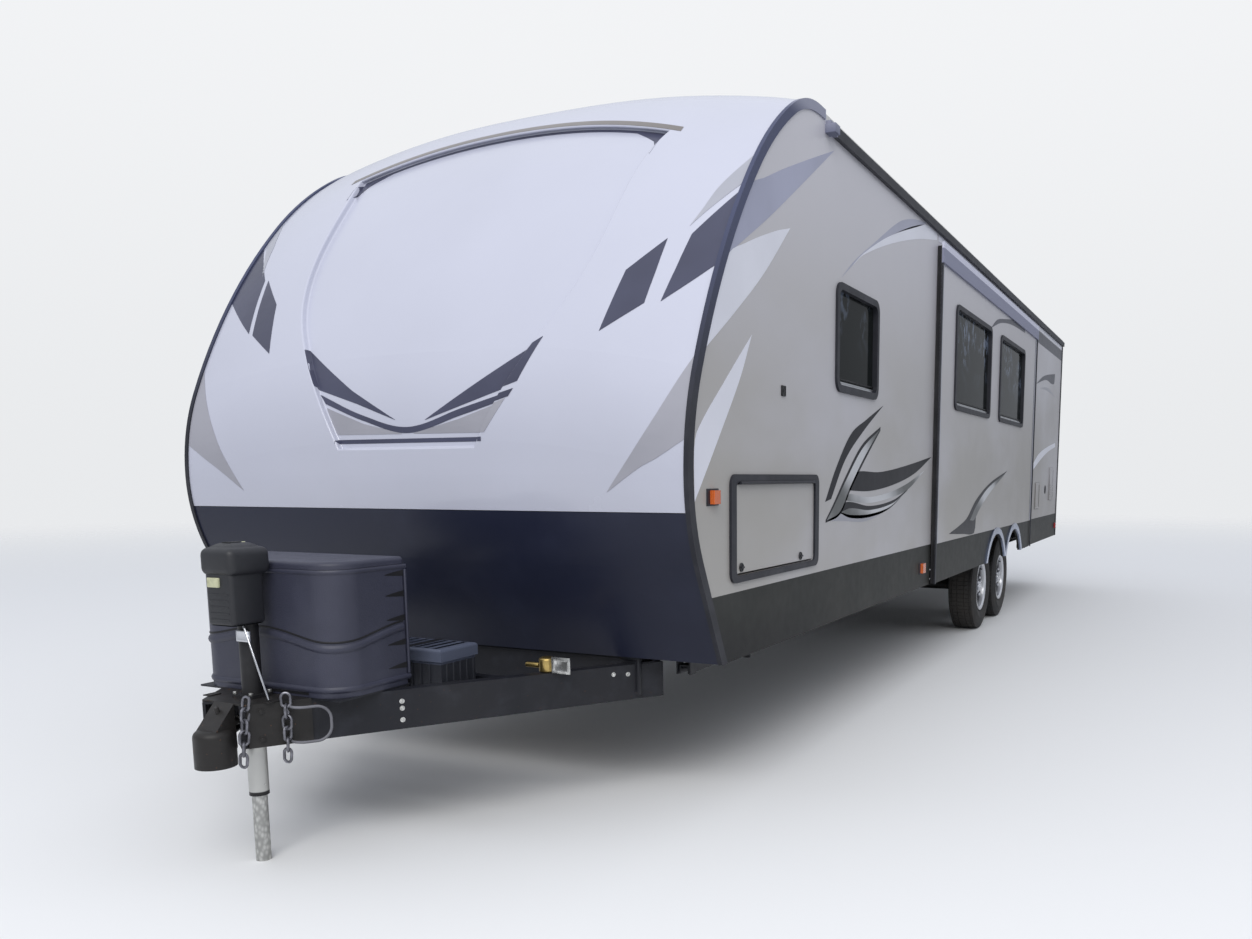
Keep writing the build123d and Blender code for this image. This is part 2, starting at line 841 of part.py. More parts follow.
with BuildPart() as axles:
    for station in axle_stations:
        with Locations((0, at(station), tyre_radius)):
            Cylinder(38, 2 * backing_x, rotation=(0, 90, 0))
            Cylinder(spindle_radius, 2 * 1075, rotation=(0, 90, 0))
        for side in (1, -1):
            with Locations((side * (backing_x + 5), at(station), tyre_radius)):
                Cylinder(hub_radius, 10, rotation=(0, 90, 0))
finish(axles, "axles")

spring_half = 330
spring_seat_z = tyre_radius + 38
spring_eye_z = 462
leaf_thick = 8
with BuildPart() as leaf_springs:
    first, last = axle_stations
    middle_station = (first + last) / 2
    for side in (1, -1):
        x = side * rail_x
        for station in axle_stations:
            for count in range(4):
                reach = spring_half - 70 * count
                low = spring_seat_z + leaf_thick * (3 - count)
                high = low + (spring_eye_z - spring_seat_z - 24) * (reach / spring_half) ** 2
                front, middle, rear = at(station - reach), at(station), at(station + reach)
                with BuildSketch(Plane.YZ.offset(x - 22)):
                    with BuildLine():
                        ThreePointArc((front, high), (middle, low), (rear, high))
                        Line((rear, high), (rear, high + leaf_thick))
                        ThreePointArc(
                            (rear, high + leaf_thick), (middle, low + leaf_thick), (front, high + leaf_thick)
                        )
                        Line((front, high + leaf_thick), (front, high))
                    make_face()
                extrude(amount=44)
            for end in (-1, 1):
                with Locations((x, at(station + end * spring_half), spring_eye_z)):
                    Cylinder(20, 44, rotation=(0, 90, 0))
        # hangers fore and aft, and the equaliser between the two springs
        for station in (first - spring_half, last + spring_half, middle_station):
            s0, s1 = station - 30, station + 30
            for k in (-27, 27):
                add(slab(x + k - 3, x + k + 3, s0, s1, spring_eye_z - 20, rail_bottom_z))
            with Locations((x, at(station), spring_eye_z)):
                Cylinder(8, 64, rotation=(0, 90, 0))
        s0, s1 = middle_station - 90, middle_station + 90
        add(slab(x - 20, x + 20, s0, s1, spring_eye_z - 12, spring_eye_z + 22))
finish(leaf_springs, "leaf_springs")

rim_radius = 189.5
spoke_count = 6


def tyre_solid():
    """Tyre about the X axis, centred on its own middle."""
    with BuildPart() as tyre:
        with BuildSketch(Plane.XY):
            with BuildLine():
                Polyline(
                    (-90, 190),
                    (90, 190),
                    (90, 202),
                    (104, 218),
                    (112, 262),
                    (111, 310),
                    (98, 344),
                    (76, tyre_radius),
                    (-76, tyre_radius),
                    (-98, 344),
                    (-111, 310),
                    (-112, 262),
                    (-104, 218),
                    (-90, 202),
                    close=True,
                )
            make_face()
        revolve(axis=Axis.X)
    return tyre.part


def rim_solid():
    """Rim, spoked face, hub and brake drum about the X axis, its face toward +X."""
    with BuildPart() as rim:
        with BuildSketch(Plane.XY):
            with BuildLine():
                Polyline(
                    (-112, spindle_radius + 1),
                    (48, spindle_radius + 1),
                    (48, 0),
                    (70, 0),
                    (70, 40),
                    (62, 48),
                    (62, 78),
                    (40, 100),
                    (56, 168),
                    (88, 174),
                    (98, 186),
                    (98, 200),
                    (91, 200),
                    (90, rim_radius),
                    (-90, rim_radius),
                    (-91, 200),
                    (-98, 200),
                    (-98, 176),
                    (40, 166),
                    (24, 100),
                    (24, 60),
                    (-50, 60),
                    (-50, 140),
                    (-112, 140),
                    close=True,
                )
            make_face()
        revolve(axis=Axis.X)
        with BuildSketch(Plane.YZ.offset(10)):
            with PolarLocations(128, spoke_count):
                SlotOverall(58, 44, rotation=90)
        extrude(amount=80, mode=Mode.SUBTRACT)
    return rim.part


tyre_shape = tyre_solid()
rim_shape = rim_solid()
for name, side, station in wheel_rows:
    spot = Pos(side * wheel_x, at(station), tyre_radius)
    turn = Rot(0, 0, 0 if side > 0 else 180)
    with BuildPart() as tyre:
        add(spot * turn * tyre_shape)
    finish(tyre, f"tyre_{name}")
    with BuildPart() as rim:
        add(spot * turn * rim_shape)
    finish(rim, f"rim_{name}")

# ---------------------------------------------------------------- stabilisers
for name, side, station, fold in stabiliser_rows:
    with BuildPart() as stabiliser:
        end = station + fold * stabiliser_length
        s0, s1 = sorted((station - fold * 18, end))
        x = side * stabiliser_x
        add(slab(x - 20, x + 20, s0, s1, stabiliser_z - 20, stabiliser_z + 14))
        add(slab(x - 15, x + 15, s0 - 1, s1 + 1, stabiliser_z - 21, stabiliser_z + 9), mode=Mode.SUBTRACT)
        with Locations((x, at(station), stabiliser_z)):
            Cylinder(7, 80, rotation=(0, 90, 0), mode=Mode.SUBTRACT)
        foot0, foot1 = sorted((end, end + fold * 10))
        add(slab(x - 45, x + 45, foot0, foot1, stabiliser_z - 40, stabiliser_z + 24))
    finish(stabiliser, f"stabiliser_{name}")

# ---------------------------------------------------------------- rear end
bumper = (9330, 9430, 600, 700)
spare_z = 1080
spare_station = 9440 + tyre_width / 2
with BuildPart() as rear_bumper:
    s0, s1, z0, z1 = bumper
    add(slab(-1130, 1130, s0, s1, z0, z1))
    fillet(rear_bumper.edges().filter_by(Axis.X), 12)
    add(slab(-40, 40, 9380, 9430, bumper[3], spare_z + 90))
    add(slab(-90, 90, 9430, 9438, spare_z - 90, spare_z + 90))
    add(slab(-60, 60, 9330, 9430, bumper[3], bumper[3] + 8))
finish(rear_bumper, "rear_bumper")

with BuildPart() as spare_wheel:
    spot = Pos(0, at(spare_station), spare_z) * Rot(0, 0, 90)
    with BuildPart(mode=Mode.PRIVATE) as spare_rim:
        add(rim_shape)
        with Locations((-80, 0, 0)):
            Cylinder(145, 66, rotation=(0, 90, 0), mode=Mode.SUBTRACT)
    add(spot * tyre_shape)
    add(spot * spare_rim.part)
finish(spare_wheel, "spare_wheel")

marker_rows = [
    # side, station, z, half length, half height
    (1, 170, 1190, 24, 24),
    (-1, 170, 1190, 24, 24),
    (1, 3100, 700, 30, 30),
    (-1, 3100, 700, 30, 30),
    (1, 9180, 700, 30, 30),
    (-1, 9180, 700, 30, 30),
]
with BuildPart() as lights:
    for side, station, z, half_length, half_height in marker_rows:
        add(
            slab(
                side * half_width, side * (half_width + 22),
                station - half_length, station + half_length,
                z - half_height, z + half_height,
            )
        )
    for side in (1, -1):
        add(slab(side * 1010, side * 1190, body_length, body_length + 48, 950, 1180))
finish(lights, "lights")

# what stands on the roof follows its crown
roof_top = roof_edge_z + crown(0)
roof_seat = 20
with BuildPart() as air_conditioner:
    with BuildSketch(Plane.XY.offset(roof_top - roof_seat)):
        with Locations((0, at(5000))):
            RectangleRounded(700, 1000, 80)
    extrude(amount=310, taper=8)
    fillet(air_conditioner.faces().sort_by(Axis.Z)[-1].edges(), 30)
    add(outer_form, mode=Mode.SUBTRACT)
finish(air_conditioner, "air_conditioner")

with BuildPart() as roof_vents:
    for station in (2600, 7700):
        with BuildSketch(Plane.XY.offset(roof_top - roof_seat)):
            with Locations((0, at(station))):
                RectangleRounded(420, 420, 30)
        extrude(amount=100, taper=12)
    add(outer_form, mode=Mode.SUBTRACT)
finish(roof_vents, "roof_vents")

# ---------------------------------------------------------------- curb side fittings
awning_x = 1292
awning_z = 2702
awning_radius = 50
with BuildPart() as awning:
    with Locations((-awning_x, at(5850), awning_z)):
        Cylinder(awning_radius, 5000, rotation=(90, 0, 0))
    for station in (3325, 8375):
        add(slab(-half_width - 22, -half_width, station - 20, station + 20, 900, gutter_z[0] - 4))
        add(slab(-awning_x, -half_width, station - 20, station + 20, awning_z - 20, awning_z + 20))
finish(awning, "awning")

with BuildPart() as grab_handle:
    with BuildLine() as handle_path:
        FilletPolyline(
            (-half_width, at(4860), 1250),
            (-half_width - 60, at(4860), 1250),
            (-half_width - 60, at(4860), 1800),
            (-half_width, at(4860), 1800),
            radius=35,
        )
    with BuildSketch(Plane(origin=(-half_width, at(4860), 1250), z_dir=(-1, 0, 0))):
        Circle(12)
    sweep(path=handle_path.line)
finish(grab_handle, "grab_handle")

with BuildPart() as entry_steps:
    for count, (x0, x1) in enumerate(((-1195, -960), (-1150, -915))):
        z = 515 + 32 * count
        add(slab(x0, x1, 4110, 4690, z, z + 22))
    for s0 in (4090, 4690):
        add(slab(-1190, -rail_x + 20, s0, s0 + 20, 505, rail_bottom_z))
finish(entry_steps, "entry_steps")
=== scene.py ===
# %% [markdown]
# The travel trailer arrives as a frame of metal, plastic and rubber parts that already stand in
# the right place, in metres, with its nose toward -Y and the driver's side toward +X. Everything
# below gives those parts their finish and adds vinyl, small hardware, light and a camera. Nothing
# here moves a part, so the trailer keeps its size.

# %% The frame
import math

import bpy
from mathutils import Matrix, Vector


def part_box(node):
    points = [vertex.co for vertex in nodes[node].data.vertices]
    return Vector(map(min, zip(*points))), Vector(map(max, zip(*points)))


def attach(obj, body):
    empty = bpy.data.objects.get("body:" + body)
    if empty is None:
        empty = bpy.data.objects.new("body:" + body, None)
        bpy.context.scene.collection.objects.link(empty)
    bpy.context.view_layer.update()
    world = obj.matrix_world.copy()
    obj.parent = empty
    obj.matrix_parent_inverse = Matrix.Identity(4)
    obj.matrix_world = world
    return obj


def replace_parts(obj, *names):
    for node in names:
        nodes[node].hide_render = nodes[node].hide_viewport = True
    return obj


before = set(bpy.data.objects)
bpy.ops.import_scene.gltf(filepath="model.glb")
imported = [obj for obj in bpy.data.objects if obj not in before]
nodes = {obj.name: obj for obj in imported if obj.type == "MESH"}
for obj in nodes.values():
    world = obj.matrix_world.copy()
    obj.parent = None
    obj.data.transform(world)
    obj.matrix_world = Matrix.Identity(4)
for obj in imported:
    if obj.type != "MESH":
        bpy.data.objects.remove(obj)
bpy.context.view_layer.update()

# %% [markdown]
# Sizes are easier to read as distances back from the front corner of the side walls, called
# stations. The few driving sizes of the body are named once here, and everything that is added
# takes its place from them.

# %% Driving sizes
front = -4.349
wall = 1.219
slide_wall = 1.247
hub_height = 0.355
hub_offset = 1.037
axle_stations = (5.44, 6.28)


def at(station):
    """Place along Y of a distance back from the front corner."""
    return front + station


print("rear of the body at", round(at(9.31), 3))

# %% [markdown]
# The camera stands ahead of the driver's corner at chest height. A trailer is long, so the lens is
# wide and close, and its shift, not its tilt, sets where the body sits in the picture.

# %% Camera
camera_data = bpy.data.cameras.new("camera")
camera = bpy.data.objects.new("camera", camera_data)
bpy.context.scene.collection.objects.link(camera)
bpy.context.scene.camera = camera
forward = Vector((-0.4153, 0.8992, -0.1378)).normalized()
roll = 0.0018
level = forward.cross(Vector((0, 0, 1))).normalized()
upward = level.cross(forward)
right = level * math.cos(roll) - upward * math.sin(roll)
upward = right.cross(forward)
turn = Matrix((right, upward, -forward)).transposed().to_4x4()
camera.matrix_world = Matrix.Translation((2.7791, -7.3593, 1.2593)) @ turn
picture_width = 1252
lens_in_pixels = 1004.89
camera_data.sensor_width = 36
camera_data.lens = lens_in_pixels / picture_width * camera_data.sensor_width
camera_data.shift_x = -0.0879
camera_data.shift_y = 0.1178
camera_data.clip_end = 300
print("lens", round(camera_data.lens, 2), "mm")

# %% [markdown]
# A pattern on a surface is a sum of simple ones, such as a height times a noise. Written by hand in
# nodes that is long-winded, so Number wraps one value and ordinary sums on it add the nodes. All
# patterns read Object coordinates, which are metres here, so a scale of 400 really is a grain of
# two or three millimetres.


# %% Number: arithmetic on sockets
class Number:
    """A value that varies over a surface; arithmetic on it adds Math nodes."""

    def __init__(self, finish, socket):
        self.finish = finish
        self.socket = socket

    def combine(self, operation, *values):
        sockets = dict(enumerate(values))
        math_node = self.finish.node("ShaderNodeMath", {"operation": operation}, sockets)
        return Number(self.finish, math_node.outputs[0])

    def __add__(self, other):
        return self.combine("ADD", self, other)

    __radd__ = __add__

    def __sub__(self, other):
        return self.combine("SUBTRACT", self, other)

    def __rsub__(self, other):
        return self.combine("SUBTRACT", other, self)

    def __mul__(self, other):
        return self.combine("MULTIPLY", self, other)

    __rmul__ = __mul__

    def __gt__(self, other):
        return self.combine("GREATER_THAN", self, other)

    def __lt__(self, other):
        return self.combine("LESS_THAN", self, other)

    def size(self):
        return self.combine("ABSOLUTE", self)

    def wave(self):
        return self.combine("SINE", self)

    def root(self):
        return self.combine("SQRT", self)

    def higher(self, other):
        return self.combine("MAXIMUM", self, other)


print("values that add their own nodes")


# %% [markdown]
# A finish is mixed in layers, as a painter would: a base colour, patches laid over it, then how
# rough it is and what small relief it has. Each layer is one short call on the material.


# %% Finish: one material
class Finish:
    """One material on a Principled shader, built from nodes that read Object coordinates."""

    def __init__(self, name, colour, slot, roughness, metallic=0.0, **constants):
        self.material = bpy.data.materials.new(name)
        self.material.use_nodes = True
        self.tree = self.material.node_tree
        self.shader = self.tree.nodes["Principled BSDF"]
        self.slot = slot
        self.base = (*colour, 1)
        self.shader.inputs["Base Color"].default_value = self.base
        self.shader.inputs["Roughness"].default_value = roughness
        self.shader.inputs["Metallic"].default_value = metallic
        for label, value in constants.items():
            self.shader.inputs[label.replace("_", " ")].default_value = value

    def node(self, kind, settings=None, sockets=None):
        """Add a node: its settings first, then the values or links of its sockets."""
        added = self.tree.nodes.new(kind)
        for label, value in (settings or {}).items():
            setattr(added, label, value)
        for label, value in (sockets or {}).items():
            self.feed(added.inputs[label], value)
        return added

    def feed(self, socket, value):
        if isinstance(value, Number):
            value = value.socket
        if isinstance(value, bpy.types.NodeSocket):
            self.tree.links.new(value, socket)
        else:
            socket.default_value = value

    def place(self, scale=(1, 1, 1)):
        """Object coordinates, stretched."""
        where = self.node("ShaderNodeTexCoord").outputs["Object"]
        if scale == (1, 1, 1):
            return where
        return self.node("ShaderNodeMapping", None, {"Vector": where, "Scale": scale}).outputs[0]

    def axes(self):
        split = self.node("ShaderNodeSeparateXYZ", None, {0: self.place()})
        return [Number(self, socket) for socket in split.outputs]

    def seen_by(self, first, second):
        """1 for either kind of ray, 0 for the rest."""
        path = self.node("ShaderNodeLightPath")
        first, second = (Number(self, path.outputs[f"Is {kind} Ray"]) for kind in (first, second))
        return first.higher(second)

    def noise(self, scale, detail=2.0, stretch=(1, 1, 1)):
        sockets = {"Vector": self.place(stretch), "Scale": scale, "Detail": detail}
        return Number(self, self.node("ShaderNodeTexNoise", None, sockets).outputs["Fac"])

    def cells(self, scale, stretch=(1, 1, 1)):
        """Distance from the middle of the nearest cell."""
        sockets = {"Vector": self.place(stretch), "Scale": scale}
        return Number(self, self.node("ShaderNodeTexVoronoi", None, sockets).outputs["Distance"])

    def above(self, value, low, high):
        """0 below low, 1 above high, smooth between."""
        sockets = {"Value": value, "From Min": low, "From Max": high}
        step = self.node("ShaderNodeMapRange", {"interpolation_type": "SMOOTHSTEP"}, sockets)
        return Number(self, step.outputs["Result"])

    def blend(self, factor, first, second):
        """Colour between two colours."""
        sockets = {0: factor, 6: first, 7: second}
        return self.node("ShaderNodeMix", {"data_type": "RGBA"}, sockets).outputs[2]

    def colour(self, socket):
        self.feed(self.shader.inputs["Base Color"], socket)
        self.base = socket

    def over(self, factor, tone):
        """Lay another tone over the colour so far."""
        self.colour(self.blend(factor, self.base, (*tone, 1)))

    def rough(self, value):
        self.feed(self.shader.inputs["Roughness"], value)

    def relief(self, height, distance, strength=1.0):
        """Bump whose full height is a real distance."""
        sockets = {"Height": height, "Distance": distance, "Strength": strength}
        bump = self.node("ShaderNodeBump", None, sockets)
        self.feed(self.shader.inputs["Normal"], bump.outputs[0])

    def mottle(self, tone, scale, low=0.35, high=0.75, stretch=(1, 1, 1)):
        """Patches of another tone, soft edged."""
        self.over(self.above(self.noise(scale, 4, stretch), low, high), tone)

    def wear(self, patches, gloss, grain=None):
        """Patches of another tone, uneven gloss and a grain, one noise each."""
        self.mottle(*patches)
        level, scale, detail, spread = gloss
        self.rough(level + self.noise(scale, detail) * spread)
        if grain:
            scale, detail, distance, strength = grain
            self.relief(self.noise(scale, detail), distance, strength)


def tint(colour, factor, lift=0.0):
    """The same colour, brighter or darker."""
    return tuple(channel * factor + lift for channel in colour)


print("two helpers for finishes")

# %% [markdown]
# Gelcoat is the glossy outer skin of moulded glass fibre. It has a faint orange peel, broad soft
# waves from the mould and a little road film low down. The wave and the peel are relief, and the
# film is a warmer, duller tone that fades out with height.


# %% Body finishes
def road_film(finish, top, tone=(0.30, 0.28, 0.25), amount=0.35):
    """Dust that thickens toward the ground."""
    height = finish.axes()[2]
    streaks = finish.noise(2.2, 5, (1, 1, 0.25))
    film = (1 - finish.above(height, 0.4, top)) * finish.above(streaks, 0.3, 0.8) * amount
    finish.over(film, tone)
    return film


def gelcoat(name, colour, slot, top=1.7):
    finish = Finish(name, colour, slot, 0.22, Coat_Weight=0.35, Coat_Roughness=0.08)
    finish.mottle(tint(colour, 0.93), 0.9, 0.3, 0.8)
    film = road_film(finish, top, (0.42, 0.41, 0.40), 0.28)
    finish.rough(0.2 + finish.noise(6, 3) * 0.08 + film * 0.4)
    finish.relief(finish.noise(240, 2) * 0.25 + finish.noise(2.4, 2) * 0.75, 0.0012, 0.5)
    return finish


# Flat sides are thin fibreglass sheet over a frame: smooth, with slow waves where it is bonded.
def siding(name, colour):
    finish = Finish(name, colour, "siding", 0.34, Coat_Weight=0.15, Coat_Roughness=0.2)
    height = finish.axes()[2]
    # painted shade: the wall's colour is darker low down, toward the ground
    lower = tuple(channel * factor for channel, factor in zip(colour, (0.67, 0.655, 0.57)))
    finish.colour(finish.blend(finish.above(height, 1.2, 2.75), (*lower, 1), (*colour, 1)))
    # painted shade: the wall darkens toward the tail, as if it turned from the lamp
    painted_shade_toward_tail = finish.above(finish.axes()[1], at(0.8), at(9.4)) * 0.42
    finish.over(painted_shade_toward_tail, (0.21, 0.185, 0.18))
    finish.mottle(tint(colour, 0.90), 1.3, 0.35, 0.85, (1, 0.5, 1))
    film = road_film(finish, 1.3, (0.36, 0.33, 0.29), 0.4)
    finish.rough(0.3 + finish.noise(5, 3) * 0.1 + film * 0.3)
    slow_waves = finish.noise(1.6, 1, (1, 0.6, 1)) * 0.88
    finish.relief(finish.noise(420, 2) * 0.12 + slow_waves, 0.0035, 0.5)
    return finish


def coated_sheet(name, colour, slot, roughness, peel=300.0, film_top=1.0, film=0.4, gloss=0.5):
    """Powder coated or painted metal with peel, dust and worn patches."""
    finish = Finish(name, colour, slot, roughness, Specular_IOR_Level=gloss)
    finish.mottle(tint(colour, 1.5, 0.006), 3.2, 0.45, 0.95)
    dust = road_film(finish, film_top, (0.30, 0.27, 0.23), film)
    finish.rough(roughness - 0.05 + finish.noise(18, 4) * 0.14 + dust * 0.3)
    finish.relief(finish.noise(peel, 3), 0.0005, 0.35)
    return finish


cap_white = gelcoat("cap_gelcoat", (0.555, 0.57, 0.675), "cap_white")
guard_black = coated_sheet("guard_black", (0.015, 0.0180, 0.038), "guard_black", 0.3,
                           peel=160, film_top=1.0, film=0.04, gloss=0.28)
siding_paint = siding("siding_greige", (0.60, 0.59, 0.64))
skirt_grey = coated_sheet("skirt_graphite", (0.021, 0.0225, 0.0205), "skirt_grey", 0.5,
                          peel=200, film_top=0.95, film=0.08, gloss=0.2)
# the skirt's front foot turns under and is in shade
x, y, z = skirt_grey.axes()
shaded = (1 - skirt_grey.above(z, 0.60, 0.80)) * (1 - skirt_grey.above(y, at(0.3), at(2.2))) * 0.7
skirt_grey.over(shaded, (0.006, 0.006, 0.007))
print("body finishes", len(bpy.data.materials))

# %% [markdown]
# Moulded plastic carries the grain of its mould, a field of small pebbles. Voronoi cells give
# pebbles with creases between them, and a second, larger noise keeps the gloss from being even.


# %% Plastic and rubber finishes
def pebbled(name, colour, slot, roughness, pebbles=520.0, depth=0.0006):
    finish = Finish(name, colour, slot, roughness)
    finish.wear((tint(colour, 1.35, 0.006), 5, 0.4, 0.9), (roughness - 0.06, 25, 3, 0.16))
    finish.relief(1 - finish.cells(pebbles), depth, 0.45)
    return finish


def tyre_rubber():
    """Black rubber with mould rings on the wall, browner and dustier near the ground."""
    finish = Finish("tyre_rubber", (0.018, 0.018, 0.019), "tyre", 0.78)
    finish.wear(((0.040, 0.037, 0.034), 9, 0.4, 0.85), (0.66, 40, 4, 0.22))
    road_film(finish, 0.75, (0.12, 0.105, 0.09), 0.5)
    mould_rings = (finish.axes()[0] * 900).wave() * 0.35
    finish.relief(mould_rings + finish.noise(500, 2) * 0.65, 0.0006, 0.5)
    return finish


def gasket_rubber(name, colour, slot, gloss=0.28):
    finish = Finish(name, colour, slot, 0.5, Specular_IOR_Level=gloss)
    finish.wear((tint(colour, 1.6, 0.01), 7, 0.4, 0.9), (0.42, 30, 3, 0.18), (700, 2, 0.0003, 0.5))
    return finish


def fender_and_trim(name, fascia=False):
    """Black edge trims, fender arches by the wheels whose blue-grey tone is painted sky reflection,
    and a two-tone fascia.
    """
    finish = Finish(name, (0.020, 0.021, 0.028), "trim_black", 0.45, Specular_IOR_Level=0.3)
    finish.mottle((0.045, 0.046, 0.056), 7, 0.4, 0.9)
    x, y, z = finish.axes()
    middle = (at(axle_stations[0]) + at(axle_stations[1])) / 2
    # painted reflection: the fender arches are black plastic, and their blue-grey tone and its
    # patches stand in for the sky reflected in them
    arch = (z < 0.93) * ((y - middle).size() < 1.05) * (x.size() > 1.15)
    patches = finish.above(finish.noise(5, 3), 0.35, 0.7)
    tone = finish.blend(patches, (0.36, 0.41, 0.55, 1), (0.22, 0.25, 0.34, 1))
    # where it lies, and the colour it takes there
    nose = y < at(1.395)
    zones = [(arch, tone), (finish.above(z, 1.4, 2.3) * nose, (0.060, 0.070, 0.135, 1)),
             (finish.above(z, 2.68, 2.78) * nose, (0.30, 0.31, 0.40, 1))]
    if fascia:
        zones += [(z > 2.558, (0.26, 0.27, 0.37, 1)), (z > 2.645, (0.66, 0.67, 0.80, 1))]
    for zone, colour in zones:
        finish.colour(finish.blend(zone, finish.base, colour))
    finish.feed(finish.shader.inputs["Metallic"], arch * 0.85)
    finish.rough(0.46 + finish.noise(30, 3) * 0.12 - arch * 0.34)
    finish.relief(finish.noise(700, 2), 0.0002, 0.4)
    return finish


trims_and_fenders = fender_and_trim("trims_and_fenders")
slide_trim = fender_and_trim("slide_trims_and_fascia", True)
trim_black = gasket_rubber("trim_rubber", (0.020, 0.021, 0.028), "trim_black")
jack_plastic = pebbled("jack_plastic", (0.016, 0.017, 0.021), "jack_plastic", 0.46)
battery_plastic = pebbled("battery_plastic", (0.020, 0.022, 0.030), "jack_plastic", 0.5)
# painted highlight: the top of the battery box's lid is tinted pale blue where sky light falls on
# it
lid_height = battery_plastic.above(battery_plastic.axes()[2], 0.598, 0.602)
lid_painted_sky_highlight = (0.090, 0.105, 0.155)
battery_plastic.over(lid_height, lid_painted_sky_highlight)
cover_grey = pebbled("cover_polyethylene", (0.033, 0.035, 0.058), "cover_grey", 0.44, 360, 0.0009)
rubber = tyre_rubber()
cable_rubber = gasket_rubber("cable_jacket", (0.16, 0.16, 0.18), "cable_rubber")
# near-black rubber for seals, pads and straps; it also paints the shade in the propane cover's
# darts and groove
dark_rubber_and_painted_shade = gasket_rubber("black_rubber_and_painted_shade", (0.010, 0.010, 0.012), "trim_black")
print("plastic and rubber", len(bpy.data.materials))

# %% [markdown]
# Metals: black frame steel is rolled and painted, so it shows mill scale and stone chips; zinc
# shows crystals, which Voronoi cells colour one by one; the rims are turned on a lathe, which
# leaves fine rings about the axle.


# %% Metal finishes
def frame_steel(name, colour, slot, rust=0.25):
    finish = Finish(name, colour, slot, 0.4, Specular_IOR_Level=0.3)
    finish.mottle(tint(colour, 1.8, 0.005), 14, 0.45, 0.9)
    chips = finish.above(finish.noise(60, 6), 0.68, 0.72)
    finish.over(chips * rust, (0.11, 0.055, 0.03))
    road_film(finish, 0.8, (0.12, 0.11, 0.10), 0.12)
    finish.rough(0.34 + finish.noise(35, 4) * 0.22 + chips * 0.2)
    finish.relief(finish.noise(240, 4) + chips * 0.4, 0.0007, 0.4)
    return finish


def galvanised(name, colour, roughness=0.34):
    finish = Finish(name, colour, "zinc", roughness, 0.9)
    crystals = finish.cells(90, (1, 1, 0.6))
    finish.over(finish.above(crystals, 0.1, 0.75), tint(colour, 0.62))
    finish.mottle((0.25, 0.22, 0.18), 11, 0.62, 0.95)
    finish.rough(roughness + crystals * 0.18)
    finish.relief(finish.noise(500, 3), 0.0003, 0.4)
    return finish


def turned_alloy(name, colour, roughness=0.26):
    """Machined face with rings about the axle, with painted shade in the pockets behind it."""
    finish = Finish(name, colour, "alloy", roughness, 0.95)
    x, y, z = finish.axes()
    # painted shade: the rim is darkened behind its face, where its pockets lie in shade
    behind = finish.above(x.size(), 1.085, 1.118)
    finish.colour(finish.blend(behind, (0.035, 0.035, 0.038, 1), finish.base))
    finish.mottle((0.28, 0.27, 0.25), 16, 0.6, 0.95)
    rise = z - hub_height
    rings = None
    for station in axle_stations:
        run = y - at(station)
        ring = ((run * run + rise * rise).root() * 2600).wave()
        rings = ring if rings is None else rings * 0.5 + ring * 0.5
    finish.rough(roughness + finish.noise(30, 4) * 0.15)
    finish.relief(rings, 0.00025, 0.4)
    return finish


def polished(name, colour, slot, roughness=0.12):
    finish = Finish(name, colour, slot, roughness, 1.0)
    finish.wear((tint(colour, 0.6), 12, 0.4, 0.95), (roughness, 25, 4, 0.16),
                (320, 3, 0.0002, 0.3))
    return finish


steel_black = frame_steel("frame_steel", (0.011, 0.012, 0.017), "steel_black")
coupler_steel = frame_steel("coupler_steel", (0.016, 0.015, 0.015), "steel_black", 0.9)
axle_steel = frame_steel("axle_steel", (0.014, 0.014, 0.014), "axle_steel", 0.6)
zinc = galvanised("jack_zinc", (0.60, 0.60, 0.58))
tube_coat = frame_steel("jack_tube_coat", (0.014, 0.014, 0.016), "steel_black", 0.5)
# its lower length is the plated sleeve that the drop leg runs in
plated = tube_coat.above(tube_coat.axes()[2], 0.236, 0.240) * (tube_coat.axes()[2] < 0.405)
tube_coat.over(plated, (0.55, 0.55, 0.53))
tube_coat.feed(tube_coat.shader.inputs["Metallic"], plated * 0.8)
bolt_zinc = galvanised("bolt_zinc", (0.66, 0.66, 0.64), 0.24)
alloy = turned_alloy("rim_alloy", (0.66, 0.67, 0.70))
chrome = polished("bright_trim", (0.62, 0.63, 0.66), "zinc", 0.1)
bottle_paint = coated_sheet("bottle_white", (0.62, 0.62, 0.60), "bottle_white", 0.3)
print("metals", len(bpy.data.materials))

# %% [markdown]
# The remaining surfaces: roof membrane, boards, woven awning cloth, tinted glass and moulded
# lenses. Each has one pattern that makes it what it is, such as the weave of the cloth or the
# ribs inside a lens.


# %% Roof, boards, cloth, glass and lenses
def membrane():
    finish = Finish("roof_membrane", (0.66, 0.66, 0.64), "roof_white", 0.62)
    finish.wear(((0.46, 0.45, 0.42), 1.8, 0.4, 0.85), (0.55, 12, 3, 0.15))
    laps = finish.above((finish.axes()[1] * 2.6).wave(), 0.985, 1.0)
    finish.over(laps * 0.5, (0.40, 0.40, 0.39))
    finish.relief(finish.noise(300, 3) * 0.3 + laps, 0.0012, 0.5)
    return finish


def board(name, light, dark, stretch, slot=None):
    """Wood whose grain runs along the axis it is stretched on."""
    finish = Finish(name, light, slot or name, 0.5)
    grain = finish.noise(9, 5, stretch)
    finish.colour(finish.blend(finish.above(grain, 0.35, 0.7), (*light, 1), (*dark, 1)))
    finish.rough(0.42 + grain * 0.2)
    finish.relief(grain, 0.0008, 0.5)
    return finish


def belly_sheet():
    """Corrugated plastic sheet under the floor, its flutes running across."""
    finish = Finish("belly_sheet", (0.022, 0.022, 0.023), "belly_black", 0.6)
    finish.wear(((0.06, 0.055, 0.05), 4, 0.4, 0.9), (0.5, 10, 3, 0.2))
    flutes = (finish.axes()[1] * 700).wave() * 0.5
    finish.relief(flutes + finish.noise(40, 3) * 0.5, 0.0012, 0.6)
    return finish


